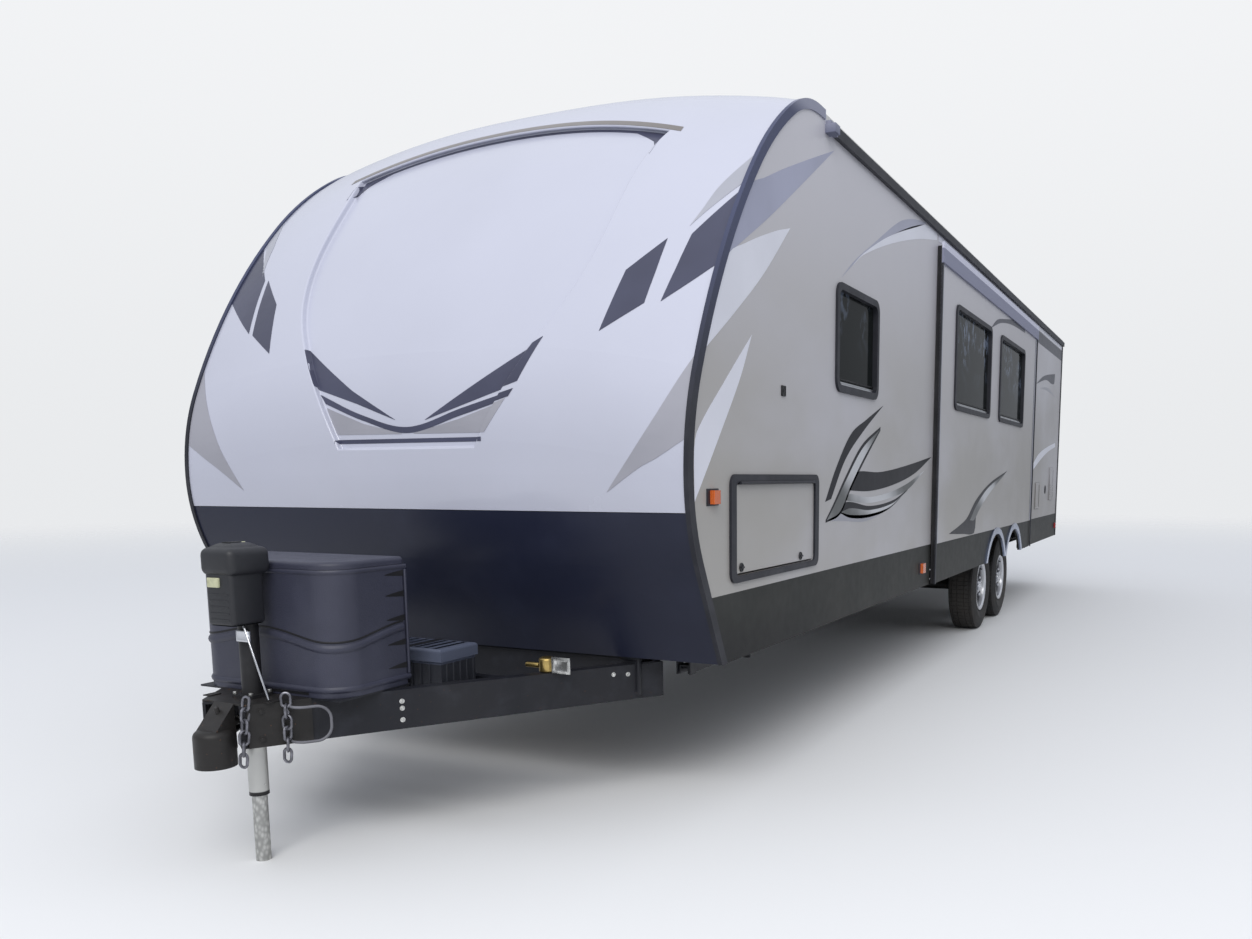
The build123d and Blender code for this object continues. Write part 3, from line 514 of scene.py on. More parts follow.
def awning_cloth():
    finish = Finish("awning_cloth", (0.060, 0.062, 0.072), "awning_fabric", 0.82)
    x, y, z = finish.axes()
    warp = (y * 5200).wave() * (z * 5200).wave()
    stripe = finish.above((y * 9).wave(), 0.1, 0.2)
    finish.over(stripe * 0.55, (0.16, 0.16, 0.18))
    finish.wear(((0.10, 0.10, 0.105), 6, 0.5, 0.95), (0.74, 60, 3, 0.16))
    finish.relief(warp, 0.0005, 0.6)
    return finish


def tinted_glass():
    """Nearly black glass that mirrors the sky, wavy like all tempered panes; a reflection of sky
    through leaves is painted on its upper part.
    """
    finish = Finish("tinted_glass", (0.010, 0.012, 0.012), "glass_dark", 0.05,
                    Specular_IOR_Level=0.03)
    height = finish.axes()[2]
    # painted reflection: blue patches of sky seen through leaves, laid on the upper glass
    leaves = finish.above(finish.noise(20, 6, (1, 1, 0.8)), 0.46, 0.62)
    boughs = finish.above(finish.noise(3.2, 3), 0.42, 0.60)
    painted_reflection = finish.above(height, 1.80, 2.3) * leaves * boughs * 0.6
    finish.over(painted_reflection, (0.24, 0.29, 0.40))
    finish.rough(0.05 + finish.noise(8, 4) * 0.05)
    finish.relief(finish.noise(3.5, 1), 0.002, 0.25)
    return finish


def lens_plastic(name, colour, rear_colour=None):
    """Ribbed lens; where a second colour is given, lamps at the tail take it."""
    finish = Finish(name, colour, "lens", 0.16, Coat_Weight=0.7, Coat_Roughness=0.05)
    x, y, z = finish.axes()
    if rear_colour:
        finish.over(y > at(9.0), rear_colour)
    ribs = ((y + x) * 900).wave()
    shade = finish.above(ribs, -0.2, 0.9) * 0.45
    finish.over(shade, (0.12, 0.01, 0.005))
    finish.rough(0.14 + finish.noise(40, 3) * 0.08)
    finish.relief(ribs, 0.0008, 0.5)
    return finish


roof_white = membrane()
floor_board = board("floor_board", (0.30, 0.22, 0.14), (0.18, 0.12, 0.07), (1, 0.12, 1))
panelling = ((0.50, 0.44, 0.36), (0.36, 0.30, 0.23), (1, 0.15, 0.15))
panel_board = board("panel_board", *panelling)
# the slide-out's box is panelled inside and has a skin of pale sheet outside
room_board = board("slide_room_board", *panelling, "panel_board")
room_low, room_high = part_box("slide_room")
skin = 0.002
x, y, z = room_board.axes()
inside = (y > room_low.y + skin) * (y < room_high.y - skin)
inside *= (z > room_low.z + skin) * (z < room_high.z - skin)
sheet_grey = (0.56, 0.56, 0.57, 1)
room_board.colour(room_board.blend(inside, sheet_grey, room_board.base))
belly_black = belly_sheet()
awning_fabric = awning_cloth()
glass_dark = tinted_glass()
lens_paint = lens_plastic("lens_amber_and_red", (0.80, 0.16, 0.025), (0.50, 0.012, 0.010))
lens_clear = lens_plastic("lens_clear", (0.60, 0.60, 0.52))
bright_rail = polished("bright_rail", (0.55, 0.56, 0.58), "zinc", 0.25)
print("finishes so far", len(bpy.data.materials))

# %% [markdown]
# A part from the frame keeps its shape and only gets its finish. The table below reads like a
# paint schedule: which finish goes on which named part.


# %% Paint schedule
def paint(piece, finish):
    piece.data.materials.clear()
    piece.data.materials.append(finish.material)


schedule = [
    # finish, parts
    (cap_white, ["front_cap"]),
    (guard_black, ["front_guard"]),
    (siding_paint, ["side_wall_left", "side_wall_right", "rear_wall", "slide_face", "entry_door"]),
    (siding_paint, ["baggage_door_left", "baggage_door_right"]),
    (skirt_grey, ["skirts", "slide_skirt"]),
    (trims_and_fenders, ["body_trims"]),
    (slide_trim, ["slide_trims"]),
    (trim_black, ["window_frames", "grab_handle"]),
    (glass_dark, ["window_glass", "door_glass", "slide_glass"]),
    (roof_white, ["roof", "air_conditioner", "roof_vents"]),
    (floor_board, ["floor"]),
    (belly_black, ["underbelly"]),
    (panel_board, ["storage_bulkhead"]),
    (room_board, ["slide_room"]),
    (steel_black, ["main_rails", "outriggers", "cross_members", "tongue_frame"]),
    (steel_black, ["rear_bumper", "entry_steps"]),
    (coupler_steel, ["coupler"]),
    (tube_coat, ["jack_tube"]),
    (zinc, ["jack_drop_leg"]),
    (jack_plastic, ["jack_housing"]),
    (battery_plastic, ["battery_box"]),
    (cable_rubber, ["brake_cable"]),
    (bottle_paint, ["propane_bottles"]),
    (cover_grey, ["propane_cover", "propane_lid"]),
    (axle_steel, ["axles", "leaf_springs"]),
    (lens_paint, ["lights"]),
    (awning_fabric, ["awning"]),
    (rubber, ["spare_wheel"]),
]
corners = [f"{side}_{row}" for side in ("left", "right") for row in ("front", "rear")]
legs = [f"{row}_{side}" for side in ("left", "right") for row in ("front", "rear")]
schedule.append((rubber, [f"tyre_{corner}" for corner in corners]))
schedule.append((alloy, [f"rim_{corner}" for corner in corners]))
schedule.append((steel_black, [f"stabiliser_{leg}" for leg in legs]))
for finish, parts in schedule:
    for part in parts:
        paint(nodes[part], finish)
print("painted", sum(len(parts) for finish, parts in schedule), "of", len(nodes))

# %% [markdown]
# Small hardware starts as a cube or a cylinder at its size and place, and is then shaped in edit
# mode: sharp edges are bevelled, and an end face is inset and pushed in or out, step by step, as
# on a lathe or a mill. A few helpers hold these moves, because each bolt, lens and latch below is
# only a short table of them. Each helper first clears the selection, since an operator acts on
# all that is selected.


# %% Hands: small modelling helpers
bpy.context.tool_settings.mesh_select_mode = (False, False, True)
made = {}


def deselect():
    bpy.ops.object.select_all(action="DESELECT")


def settle(piece):
    """Put the piece's place, turn and size into its mesh."""
    deselect()
    piece.select_set(True)
    bpy.context.view_layer.objects.active = piece
    bpy.ops.object.transform_apply(location=True, rotation=True, scale=True)
    return piece


def pick(piece, wanted):
    """Enter edit mode with only the wanted faces selected."""
    bpy.ops.object.mode_set(mode="EDIT")
    bpy.ops.mesh.select_all(action="DESELECT")
    bpy.ops.object.mode_set(mode="OBJECT")
    for face in piece.data.polygons:
        face.select = wanted(face)
    bpy.ops.object.mode_set(mode="EDIT")


def round_edges(piece, offset, segments=2, sharper_than=30.0):
    """Bevel the edges that are sharper than an angle."""
    bpy.ops.object.mode_set(mode="EDIT")
    bpy.ops.mesh.select_mode(type="EDGE")
    bpy.ops.mesh.select_all(action="DESELECT")
    bpy.ops.mesh.edges_select_sharp(sharpness=math.radians(sharper_than))
    bpy.ops.mesh.bevel(offset=offset, segments=segments, affect="EDGES")
    bpy.ops.mesh.select_mode(type="FACE")
    bpy.ops.object.mode_set(mode="OBJECT")
    return piece


def work_face(piece, direction, steps):
    """Inset the face that looks along direction and push it, once per (inset, push)."""
    toward = Vector(direction).normalized()
    end = max(face.center.dot(toward) for face in piece.data.polygons) - 1e-4
    pick(piece, lambda face: face.normal.dot(toward) > 0.99 and face.center.dot(toward) > end)
    for inset, push in steps:
        bpy.ops.mesh.inset(thickness=inset, depth=push)
    bpy.ops.object.mode_set(mode="OBJECT")
    return piece


def block(low, high, edge=0.003, segments=2, steps=(), direction=(0, 0, 1)):
    """A box between two corners, one face worked in steps, its edges rounded."""
    deselect()
    low, high = Vector(low), Vector(high)
    bpy.ops.mesh.primitive_cube_add(size=1, location=(low + high) / 2)
    piece = bpy.context.object
    piece.scale = high - low
    settle(piece)
    if steps:
        work_face(piece, direction, steps)
    return round_edges(piece, edge, segments)


def rod(start, end, radius, edge=0.001, sides=32, steps=(), segments=2):
    """A round bar from start to end; its far end may be worked in steps."""
    deselect()
    start, end = Vector(start), Vector(end)
    run = end - start
    bpy.ops.mesh.primitive_cylinder_add(
        vertices=sides, radius=radius, depth=run.length, location=(start + end) / 2,
        rotation=run.to_track_quat("Z", "Y").to_euler())
    piece = settle(bpy.context.object)
    if steps:
        work_face(piece, run, steps)
    return round_edges(piece, edge, segments)


def box_at(side, near, far, s0, s1, z0, z1, edge=0.002, steps=(), direction=None):
    """A rounded box on one side, between two distances from the centre plane and two stations."""
    x0, x1 = sorted((side * near, side * far))
    return block((x0, at(s0), z0), (x1, at(s1), z1), edge, 2, steps, direction or (side, 0, 0))


def twin(piece, place=Matrix.Identity(4)):
    """A copy with its own mesh, moved by a matrix; a mirrored copy is turned right side out."""
    double = piece.copy()
    double.data = piece.data.copy()
    bpy.context.scene.collection.objects.link(double)
    double.data.transform(place)
    if place.determinant() < 0:
        double.data.flip_normals()
    return double


def join(pieces):
    """One piece from several."""
    deselect()
    for piece in pieces:
        piece.select_set(True)
    bpy.context.view_layer.objects.active = pieces[0]
    if len(pieces) > 1:
        bpy.ops.object.join()
    return bpy.context.view_layer.objects.active


def fit(piece, name, finish, body="trailer", smooth=35.0):
    """Name a piece, finish it, and let it ride on a body."""
    deselect()
    piece.select_set(True)
    bpy.context.view_layer.objects.active = piece
    bpy.ops.object.shade_smooth_by_angle(angle=math.radians(smooth))
    piece.name = name
    piece.data.name = name
    paint(piece, finish)
    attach(piece, body)
    made[name] = len(piece.data.polygons)
    return piece


def fit_all(rows):
    """Pieces from rows of name, finish, body, the helper that shapes it, and what that takes."""
    for name, finish, body, shaped_by, *shape in rows:
        fit(shaped_by(*shape), name, finish, body)


def fit_boxes(name, finish, body, *boxes):
    """One piece from one or more rounded boxes, each given as box_at takes it."""
    return fit(join([box_at(*box) for box in boxes]), name, finish, body)


across = Matrix.Scale(-1, 4, (1, 0, 0))
both_sides = ((1, "left"), (-1, "right"))
print("modelling helpers ready")

# %% [markdown]
# The graphics are cut vinyl, 0.1 mm film with a wavy knife line, in slate, light grey, lavender,
# white and a chrome blade. Flat film could be a texture, but then its edge would blur and it
# could not be peeled off again. Here each cut is a strip of mesh: a grid primitive whose rows of
# points are dragged to run between an upper and a lower knife line. These are its inks.


# %% Vinyl finishes
def film(name, colour, slot, fade=0.85, roughness=0.28, metallic=0.0, gloss=0.4, painted_chrome_highlight=None):
    """Printed vinyl whose tone drifts; on chrome film a painted highlight runs from bright to dark
    and back.
    """
    finish = Finish(name, colour, slot, roughness, metallic, Specular_IOR_Level=gloss)
    finish.wear((tint(colour, fade), 2.3, 0.3, 0.8), (roughness - 0.03, 14, 3, 0.1),
                (300, 2, 0.0002, 0.4))
    if painted_chrome_highlight:
        # painted highlight: bright bands laid along the chrome film
        x, y, z = finish.axes()
        painted_chrome_bands = finish.above((y * 4.5 + z * 9 + finish.noise(3, 2) * 2).wave(), -0.9, 0.9)
        finish.over(painted_chrome_bands, painted_chrome_highlight)
    return finish


vinyl_slate = film("vinyl_slate", (0.052, 0.055, 0.092), "trim_black", 1.35)
vinyl_grey = film("vinyl_light_grey", (0.37, 0.37, 0.42), "cap_white", 0.86)
vinyl_lavender = film("vinyl_lavender", (0.39, 0.405, 0.54), "siding", 0.85)
vinyl_dim = film("vinyl_dim_lavender", (0.39, 0.40, 0.51), "siding", 0.85)
vinyl_haze = film("vinyl_haze", (0.42, 0.43, 0.49), "siding", 0.9)
vinyl_white = film("vinyl_white", (0.80, 0.81, 0.90), "siding", 0.92)
vinyl_black = film("vinyl_black", (0.016, 0.016, 0.020), "trim_black", 1.6, gloss=0.06)
vinyl_chrome = film("vinyl_chrome", (0.11, 0.115, 0.115), "siding", 0.8, 0.3, 0.2, 0.3,
                    painted_chrome_highlight=(0.62, 0.63, 0.66))
vinyl_dusk = film("vinyl_dusk", (0.055, 0.056, 0.075), "trim_black", 1.3, gloss=0.12)
vinyl_brown = film("vinyl_brown", (0.21, 0.19, 0.18), "cap_white", 0.8)
print("film colours", 10)


# %% [markdown]
# A plotter cuts film along two lines, an upper and a lower one, which meet at the tips. Each line
# is a short row of points, run straight or smoothly through, so a curve needs only a few. Film on
# the nose is pressed back onto the shell behind it, as a fitter would squeegee it down.


# %% Knife lines
def along(points, share, curved):
    """The point at a share of a row's length; curved rows pass smoothly through their points."""
    points = [Vector(point) for point in points]
    steps = [(b - a).length for a, b in zip(points, points[1:])]
    goal = share * sum(steps)
    index = 0
    while index < len(steps) - 1 and goal > steps[index]:
        goal -= steps[index]
        index += 1
    part = min(1.0, goal / steps[index])
    start, end = points[index], points[index + 1]
    if not curved or len(points) < 3:
        return start.lerp(end, part)
    before = points[index - 1] if index else start * 2 - end
    after = points[index + 2] if index + 2 < len(points) else end * 2 - start
    leave, arrive = (chord * steps[index] / max(2e-6, chord.length)
                     for chord in (end - before, after - start))
    square, cube = part * part, part ** 3
    return (start * (2 * cube - 3 * square + 1) + leave * (cube - 2 * square + part)
            + end * (3 * square - 2 * cube) + arrive * (cube - square))


def cut(upper, lower, columns, rows, curved=True):
    """A flat strip between two knife lines, in millimetres, drawn as (run, height)."""
    deselect()
    bpy.ops.mesh.primitive_grid_add(x_subdivisions=columns, y_subdivisions=rows, size=1)
    strip = bpy.context.object
    for point in strip.data.vertices:
        share, side = point.co.x + 0.5, point.co.y + 0.5
        top, bottom = along(upper, share, curved), along(lower, share, curved)
        spot = bottom.lerp(top, side) / 1000
        point.co = (spot[0], 0, spot[1])
    return strip


def thicken(strip, thickness, outward):
    """Give film or sheet its thickness, outward from the surface it lies on."""
    deselect()
    strip.select_set(True)
    bpy.context.view_layer.objects.active = strip
    bpy.ops.object.mode_set(mode="EDIT")
    bpy.ops.mesh.select_all(action="SELECT")
    bpy.ops.mesh.remove_doubles(threshold=0.00002)
    bpy.ops.mesh.normals_make_consistent(inside=False)
    bpy.ops.object.mode_set(mode="OBJECT")
    facing = sum((face.normal * face.area for face in strip.data.polygons), Vector())
    if facing.dot(Vector(outward)) < 0:
        strip.data.flip_normals()
    shell = strip.modifiers.new("thickness", "SOLIDIFY")
    shell.thickness = thickness
    shell.offset = 1
    bpy.ops.object.modifier_apply(modifier=shell.name)
    return strip


def on_wall(name, upper, lower, finish, body="trailer", place=wall, columns=28, curved=True,
            lift=0.0):
    """Film on a flat side: knife lines in (station, height), place is the side's X."""
    outward = 1 if place > 0 else -1
    strip = cut(upper, lower, columns, 1, curved)
    for point in strip.data.vertices:
        point.co = (place + outward * (0.0003 + lift), at(point.co.x), point.co.z)
    thicken(strip, 0.0005, (outward, 0, 0))
    return fit(strip, name, finish, body)


def on_cap(name, upper, lower, finish, columns=90, rows=24, curved=True, lift=0.0):
    """Film on the moulded nose: knife lines in (X, height), laid back onto the gelcoat."""
    strip = cut(upper, lower, columns, rows, curved)
    for point in strip.data.vertices:
        point.co.y = at(-0.4)
    deselect()
    strip.select_set(True)
    bpy.context.view_layer.objects.active = strip
    press = strip.modifiers.new("press", "SHRINKWRAP")
    press.target = nodes["front_cap"]
    press.wrap_method = "PROJECT"
    press.use_project_x = press.use_project_z = False
    press.use_project_y = True
    press.use_positive_direction = True
    press.use_negative_direction = False
    press.offset = 0.0008 + lift
    bpy.ops.object.modifier_apply(modifier=press.name)
    thicken(strip, 0.0006, (0, -1, 0))
    return fit(strip, name, finish)


print("knife lines ready")

# %% [markdown]
# On the nose a dark blade and a smaller one stand on each shoulder, a grey spike rises from the
# guard, a light one runs up to the roof, and a V of slate over pale grey fills the foot of the
# recess. The rows below hold the knife lines: X and height, in millimetres.

# %% Nose graphics
nose_cuts = [
    # name, finish, upper knife line, lower knife line, curved
    ("nose_blade_left", vinyl_slate,
     [(1038, 1863), (1063, 1983), (1085, 2112), (1206, 2275)],
     [(1038, 1862), (1100, 1905), (1150, 1941), (1206, 1985)], False),
    ("nose_blade_right", vinyl_slate,
     [(-975, 1872), (-1005, 2000), (-1030, 2122), (-1206, 2300)],
     [(-975, 1871), (-1050, 1921), (-1120, 1970), (-1206, 2030)], False),
    ("nose_dart_left", vinyl_slate,
     [(870, 1990), (933, 2046), (997, 2103)],
     [(824, 1768), (900, 1814), (976, 1860), (989, 1977), (997, 2102)], False),
    ("nose_dart_right", vinyl_slate,
     [(-862, 1994), (-932, 2056), (-1002, 2118)],
     [(-792, 1773), (-868, 1817), (-945, 1862), (-975, 1985), (-1002, 2117)], False),
    ("nose_spike_left", vinyl_grey,
     [(903, 1209), (1019, 1361), (1107, 1490), (1206, 1665)],
     [(903, 1208), (1038, 1294), (1100, 1323), (1206, 1385)], True),
    ("nose_spike_right", vinyl_grey,
     [(-882, 1209), (-990, 1358), (-1075, 1500), (-1206, 1720)],
     [(-882, 1208), (-1003, 1285), (-1100, 1340), (-1206, 1400)], True),
    ("nose_ray_left", vinyl_haze,
     [(1067, 2146), (1092, 2207), (1126, 2305), (1206, 2440)],
     [(1067, 2145), (1098, 2185), (1131, 2224), (1206, 2310)], True),
    ("nose_ray_right", vinyl_haze,
     [(-1067, 2146), (-1092, 2207), (-1126, 2305), (-1206, 2450)],
     [(-1067, 2145), (-1098, 2185), (-1131, 2234), (-1206, 2330)], True),
    ("nose_wing_left", vinyl_slate,
     [(87, 1477), (340, 1618), (597, 1762)],
     [(87, 1476), (300, 1538), (520, 1603), (597, 1760)], False),
    ("nose_wing_right", vinyl_slate,
     [(-61, 1481), (-293, 1600), (-580, 1778)],
     [(-61, 1480), (-260, 1547), (-471, 1609), (-580, 1776)], False),
    ("nose_fill_left", vinyl_grey,
     [(474, 1543), (249, 1476), (32, 1428)], [(385, 1424), (200, 1425), (32, 1426)], False),
    ("nose_fill_right", vinyl_grey,
     [(-420, 1536), (-220, 1468), (-27, 1428)], [(-357, 1428), (-200, 1427), (-27, 1426)], False),
    ("nose_bar", vinyl_slate, [(-352, 1408), (370, 1408)], [(-352, 1392), (370, 1392)], False),
]
for name, finish, upper, lower, curved in nose_cuts:
    on_cap(name, upper, lower, finish, curved=curved)
print(len(nose_cuts), "cuts on the nose")

# %% [markdown]
# A stripe bent like a V runs between the wings, and over the recess lie a brown band and, below it,
# a dark strip of painted shadow, both cut to the arc of its rim, with a small tooth at each end of
# the dark strip. The arc is one formula, so all four cuts stay parallel.

# %% Nose stripe and brow
chevron = [(-458, 1589), (-231, 1503), (4, 1452), (261, 1516), (506, 1578)]
chevron_foot = [(-427, 1552), (-220, 1480), (3, 1429), (249, 1487), (487, 1550)]
on_cap("nose_chevron", chevron, chevron_foot, vinyl_slate, 160, 8, lift=0.0004)


def brow(x, lift):
    """Height of the arc over the recess, raised or lowered."""
    return 2600 + 120 * (1 - (x / 800) ** 2) + lift


def arc_row(reach, lift, count=17):
    """Points along the brow, from one reach to the other."""
    places = [reach * (2 * step / (count - 1) - 1) for step in range(count)]
    return [(x, brow(x, lift)) for x in places]


# painted shadow: a strip of dark film below the brown band
on_cap("brow_painted_shadow", arc_row(790, -6), arc_row(790, -18), vinyl_slate, 64, 2)
on_cap("brow_band", arc_row(855, 33), arc_row(855, 10), vinyl_brown, 64, 3)
tooth_top = [(640, brow(640, -18)), (706, brow(706, -18)), (790, brow(790, -14))]
tooth_foot = [(640, brow(640, -19)), (700, 2592), (752, 2560), (776, 2484), (789, 2580)]
for side, hand in both_sides:
    upper, lower = ([(side * x, z) for x, z in row] for row in (tooth_top, tooth_foot))
    on_cap(f"brow_tooth_{hand}", upper, lower, vinyl_slate, 20, 4, curved=False)
print("brow done")

# %% [markdown]
# The sides repeat the same language: a lavender sweep climbs to the roof behind the corner, a pale
# blade and a spike stand under it, an arc hugs the front window, and a crest of slate and chrome
# feathers sits behind the baggage door. The front group is mirrored to the curb side.

# %% Front corner graphics
corner_cuts = [
    # name, finish, upper knife line, lower knife line, lift over other film
    ("sweep", vinyl_lavender,
     [(314, 2040), (478, 2300), (643, 2377), (833, 2458), (1108, 2567), (1404, 2681)],
     [(314, 2039), (477, 2130), (664, 2234), (996, 2432), (1404, 2680)], 0),
    ("blade", vinyl_white,
     [(128, 1698), (297, 2023), (451, 2100), (733, 2201), (889, 2245)],
     [(128, 1697), (363, 1846), (626, 2026), (889, 2244)], 0.0001),
    ("spike", vinyl_white,
     [(34, 1177), (33, 1350), (57, 1414), (278, 1600), (511, 1785)],
     [(34, 1176), (211, 1382), (406, 1618), (511, 1784)], 0.0001),
    ("window_arc", vinyl_dim,
     [(1533, 2169), (1719, 2277), (1982, 2398), (2456, 2610), (2737, 2687), (3023, 2728)],
     [(1533, 2168), (1646, 2228), (1835, 2327), (2292, 2505), (2980, 2710), (3023, 2727)], 0),
    ("window_crescent", vinyl_white,
     [(1690, 2248), (1835, 2327), (2292, 2505), (2980, 2710), (3300, 2727)],
     [(1690, 2247), (1835, 2320), (2295, 2465), (2832, 2599), (3300, 2689)], 0),
]
feather_cuts = [
    ("shard", vinyl_black,
     [(1335, 1147), (1481, 1301), (1695, 1465), (1930, 1543), (2221, 1631)],
     [(1416, 1159), (1610, 1339), (1867, 1476), (2221, 1630)], 0),
    ("feather_edge", vinyl_black,
     [(1345, 1064), (1452, 1137), (1621, 1262), (1864, 1415), (2180, 1520)],
     [(1345, 1052), (1550, 1085), (1700, 1198), (1915, 1340), (2180, 1500)], 0),
    ("feather", vinyl_chrome,
     [(1362, 1064), (1462, 1128), (1631, 1246), (1874, 1398), (2160, 1502)],
     [(1362, 1063), (1546, 1098), (1690, 1211), (1905, 1356), (2160, 1500)], 0.0004),
    ("wing_top", vinyl_black,
     [(1630, 1197), (1689, 1245), (1781, 1284), (2188, 1285), (2679, 1321), (3281, 1382)],
     [(1630, 1196), (2016, 1188), (2479, 1220), (2904, 1282), (3281, 1380)], 0),
    ("wing_chrome", vinyl_chrome,
     [(1588, 1151), (1661, 1178), (1984, 1157), (2383, 1177), (2752, 1224), (3115, 1296)],
     [(1588, 1150), (1985, 1127), (2386, 1145), (2755, 1189), (3115, 1295)], 0),
    ("wing_low", vinyl_black,
     [(1517, 1097), (1633, 1140), (2021, 1111), (2446, 1132), (2755, 1190)],
     [(1517, 1096), (1697, 1061), (2024, 1054), (2389, 1090), (2755, 1189)], 0),
    ("wing_low_chrome", vinyl_chrome,
     [(1560, 1094), (1700, 1108), (2021, 1090), (2440, 1116), (2740, 1182)],
     [(1560, 1093), (1697, 1076), (2024, 1070), (2389, 1098), (2740, 1181)], 0.0004),
    ("wing_foot", vinyl_grey,
     [(1378, 1060), (1489, 1087), (1696, 1090), (1888, 1069), (2389, 1091)],
     [(1378, 1059), (1622, 1049), (1956, 1036), (2389, 1090)], 0),
]
for name, finish, upper, lower, lift in corner_cuts + feather_cuts:
    for side, hand in both_sides:
        on_wall(f"{name}_{hand}", upper, lower, finish, place=side * wall, lift=lift)
print(2 * len(corner_cuts + feather_cuts), "cuts on both front corners")

# %% [markdown]
# The slide-out's face carries a thin flick under its roof, a dark sweep with a chrome core low
# down, and upright strips at both edges, and it takes them along when it moves. Behind it a flick,
# a paler one and a white arc run to the tail, with a fascia and an eave strip over them. The curb
# side has a window where the flicks would run, so it carries the arc alone.


# %% Graphics on the slide-out and along the walls
def level_row(run, height):
    return [(station, height) for station in run]


slide_cuts = [
    ("slide_flick", vinyl_dusk,
     [(4927, 2377), (5155, 2466), (5432, 2511), (5959, 2567), (6489, 2560)],
     [(4927, 2376), (5326, 2466), (5822, 2516), (6489, 2535)], 0),
    ("slide_sweep", vinyl_black,
     [(3713, 881), (4044, 925), (4268, 966), (4566, 1088), (5088, 1210), (5827, 1308)],
     [(3713, 880), (4117, 859), (4566, 851), (4552, 940), (4796, 1053), (5261, 1177),
      (5827, 1307)], 0),
    ("slide_sweep_chrome", vinyl_chrome,
     [(4374, 948), (4573, 1043), (5013, 1172), (5737, 1283)],
     [(4374, 947), (4516, 942), (4724, 1024), (5140, 1147), (5737, 1282)], 0.0004),
]
edge_strips = [
    # name, finish, stations of the upright strip
    ("slide_rear_bead", vinyl_black, (7132, 7138, 7144)),
    ("slide_rear_strip", vinyl_haze, (7146, 7172, 7200)),
    ("slide_front_strip", vinyl_haze, (3352, 3370, 3392)),
]
for name, finish, run in edge_strips:
    slide_cuts.append((name, finish, level_row(run, 2555), level_row(run, 840), 0))
for name, finish, upper, lower, lift in slide_cuts:
    on_wall(name, upper, lower, finish, "slide_out_room", slide_wall, lift=lift)
rear_cuts = [
    ("rear_flick", vinyl_dusk,
     [(7438, 2166), (7954, 2287), (8773, 2381)],
     [(7438, 2165), (8107, 2260), (8726, 2269), (8773, 2380)]),
    ("rear_flick_low", vinyl_grey,
     [(7711, 2148), (8277, 2191), (8850, 2138)], [(7711, 2147), (8250, 2160), (8850, 2137)]),
    ("rear_arc", vinyl_white,
     [(7266, 1324), (7753, 1479), (8380, 1574), (9007, 1637)],
     [(7276, 1285), (7974, 1442), (8480, 1529), (9021, 1593)]),
]
for name, finish, upper, lower in rear_cuts:
    on_wall(f"{name}_left", upper, lower, finish)
on_wall("rear_arc_right", *rear_cuts[-1][2:], rear_cuts[-1][1], place=-wall)
level_strips = [
    # name, finish, top, foot, where it starts on the driver's side and on the curb side, middle
    ("rear_fascia", vinyl_dusk, 2682, 2570, (7250, 8400), 8800),
    ("eave_strip", vinyl_white, 2728, 2690, (3340, 3340), 6300),
]
for name, finish, top, foot, starts, middle in level_strips:
    for (side, hand), start in zip(both_sides, starts):
        run = (start, middle, 9250)
        on_wall(f"{name}_{hand}", level_row(run, top), level_row(run, foot), finish,
                place=side * wall)
print("vinyl pieces", len(made))

# %% [markdown]
# A trailer tyre has a bias ribbed tread: straight grooves round it, blocks at the shoulders, and
# rings and ribs on the wall. A ring is turned first: a circle primitive becomes the section of the
# tyre and is spun round the axle. Its tread faces are then inset one by one and raised, so that
# the strips left between them are the grooves. One tyre is made and copied to each hub.


# %% Tyre
tyre_section = [
    # out from the tyre's middle, radius from the axle
    (0.086, 0.203), (0.094, 0.211), (0.103, 0.228), (0.1095, 0.250), (0.1115, 0.272),
    (0.109, 0.296), (0.1035, 0.318), (0.0975, 0.334), (0.091, 0.3445), (0.070, 0.3475),
    (0.067, 0.3475), (0.030, 0.3485), (0.027, 0.3485),
]
tyre_steps = 64
tyre_outline = tyre_section + [(-out, radius) for out, radius in reversed(tyre_section)]


def spun_ring(outline, centre, steps):
    """Turn a closed outline, (across, radius), once round an axle along X."""
    deselect()
    bpy.ops.mesh.primitive_circle_add(vertices=len(outline), radius=1, fill_type="NOTHING")
    ring = bpy.context.object
    for point, (out, radius) in zip(ring.data.vertices, outline):
        point.co = (centre[0] + out, centre[1], centre[2] + radius)
    bpy.ops.object.mode_set(mode="EDIT")
    bpy.ops.mesh.select_all(action="SELECT")
    bpy.ops.mesh.spin(steps=steps, angle=2 * math.pi, center=centre, axis=(1, 0, 0),
                      use_auto_merge=True)
    bpy.ops.mesh.select_all(action="SELECT")
    bpy.ops.mesh.remove_doubles(threshold=0.00002)
    bpy.ops.mesh.normals_make_consistent(inside=False)
    bpy.ops.object.mode_set(mode="OBJECT")
    return ring


def make_tyre(centre):
    tyre = spun_ring(tyre_outline, centre, tyre_steps)
    middle = Vector(centre)

    def radius_of(face):
        arm = face.center - middle
        return math.hypot(arm.y, arm.z)

    # tread faces become blocks between grooves
    pick(tyre, lambda face: radius_of(face) > 0.343 and abs(face.center.x - centre[0]) < 0.092
         and face.area > 0.0004)
    bpy.ops.mesh.inset(thickness=0.0022, depth=0.0062, use_individual=True)
    bpy.ops.object.mode_set(mode="OBJECT")
    # a raised ring goes round each wall
    pick(tyre, lambda face: 0.257 < radius_of(face) < 0.29 and abs(face.normal.x) > 0.8)
    bpy.ops.mesh.inset(thickness=0.004, depth=0.0)
    bpy.ops.mesh.inset(thickness=0.0015, depth=0.0012)
    bpy.ops.object.mode_set(mode="OBJECT")
    return tyre


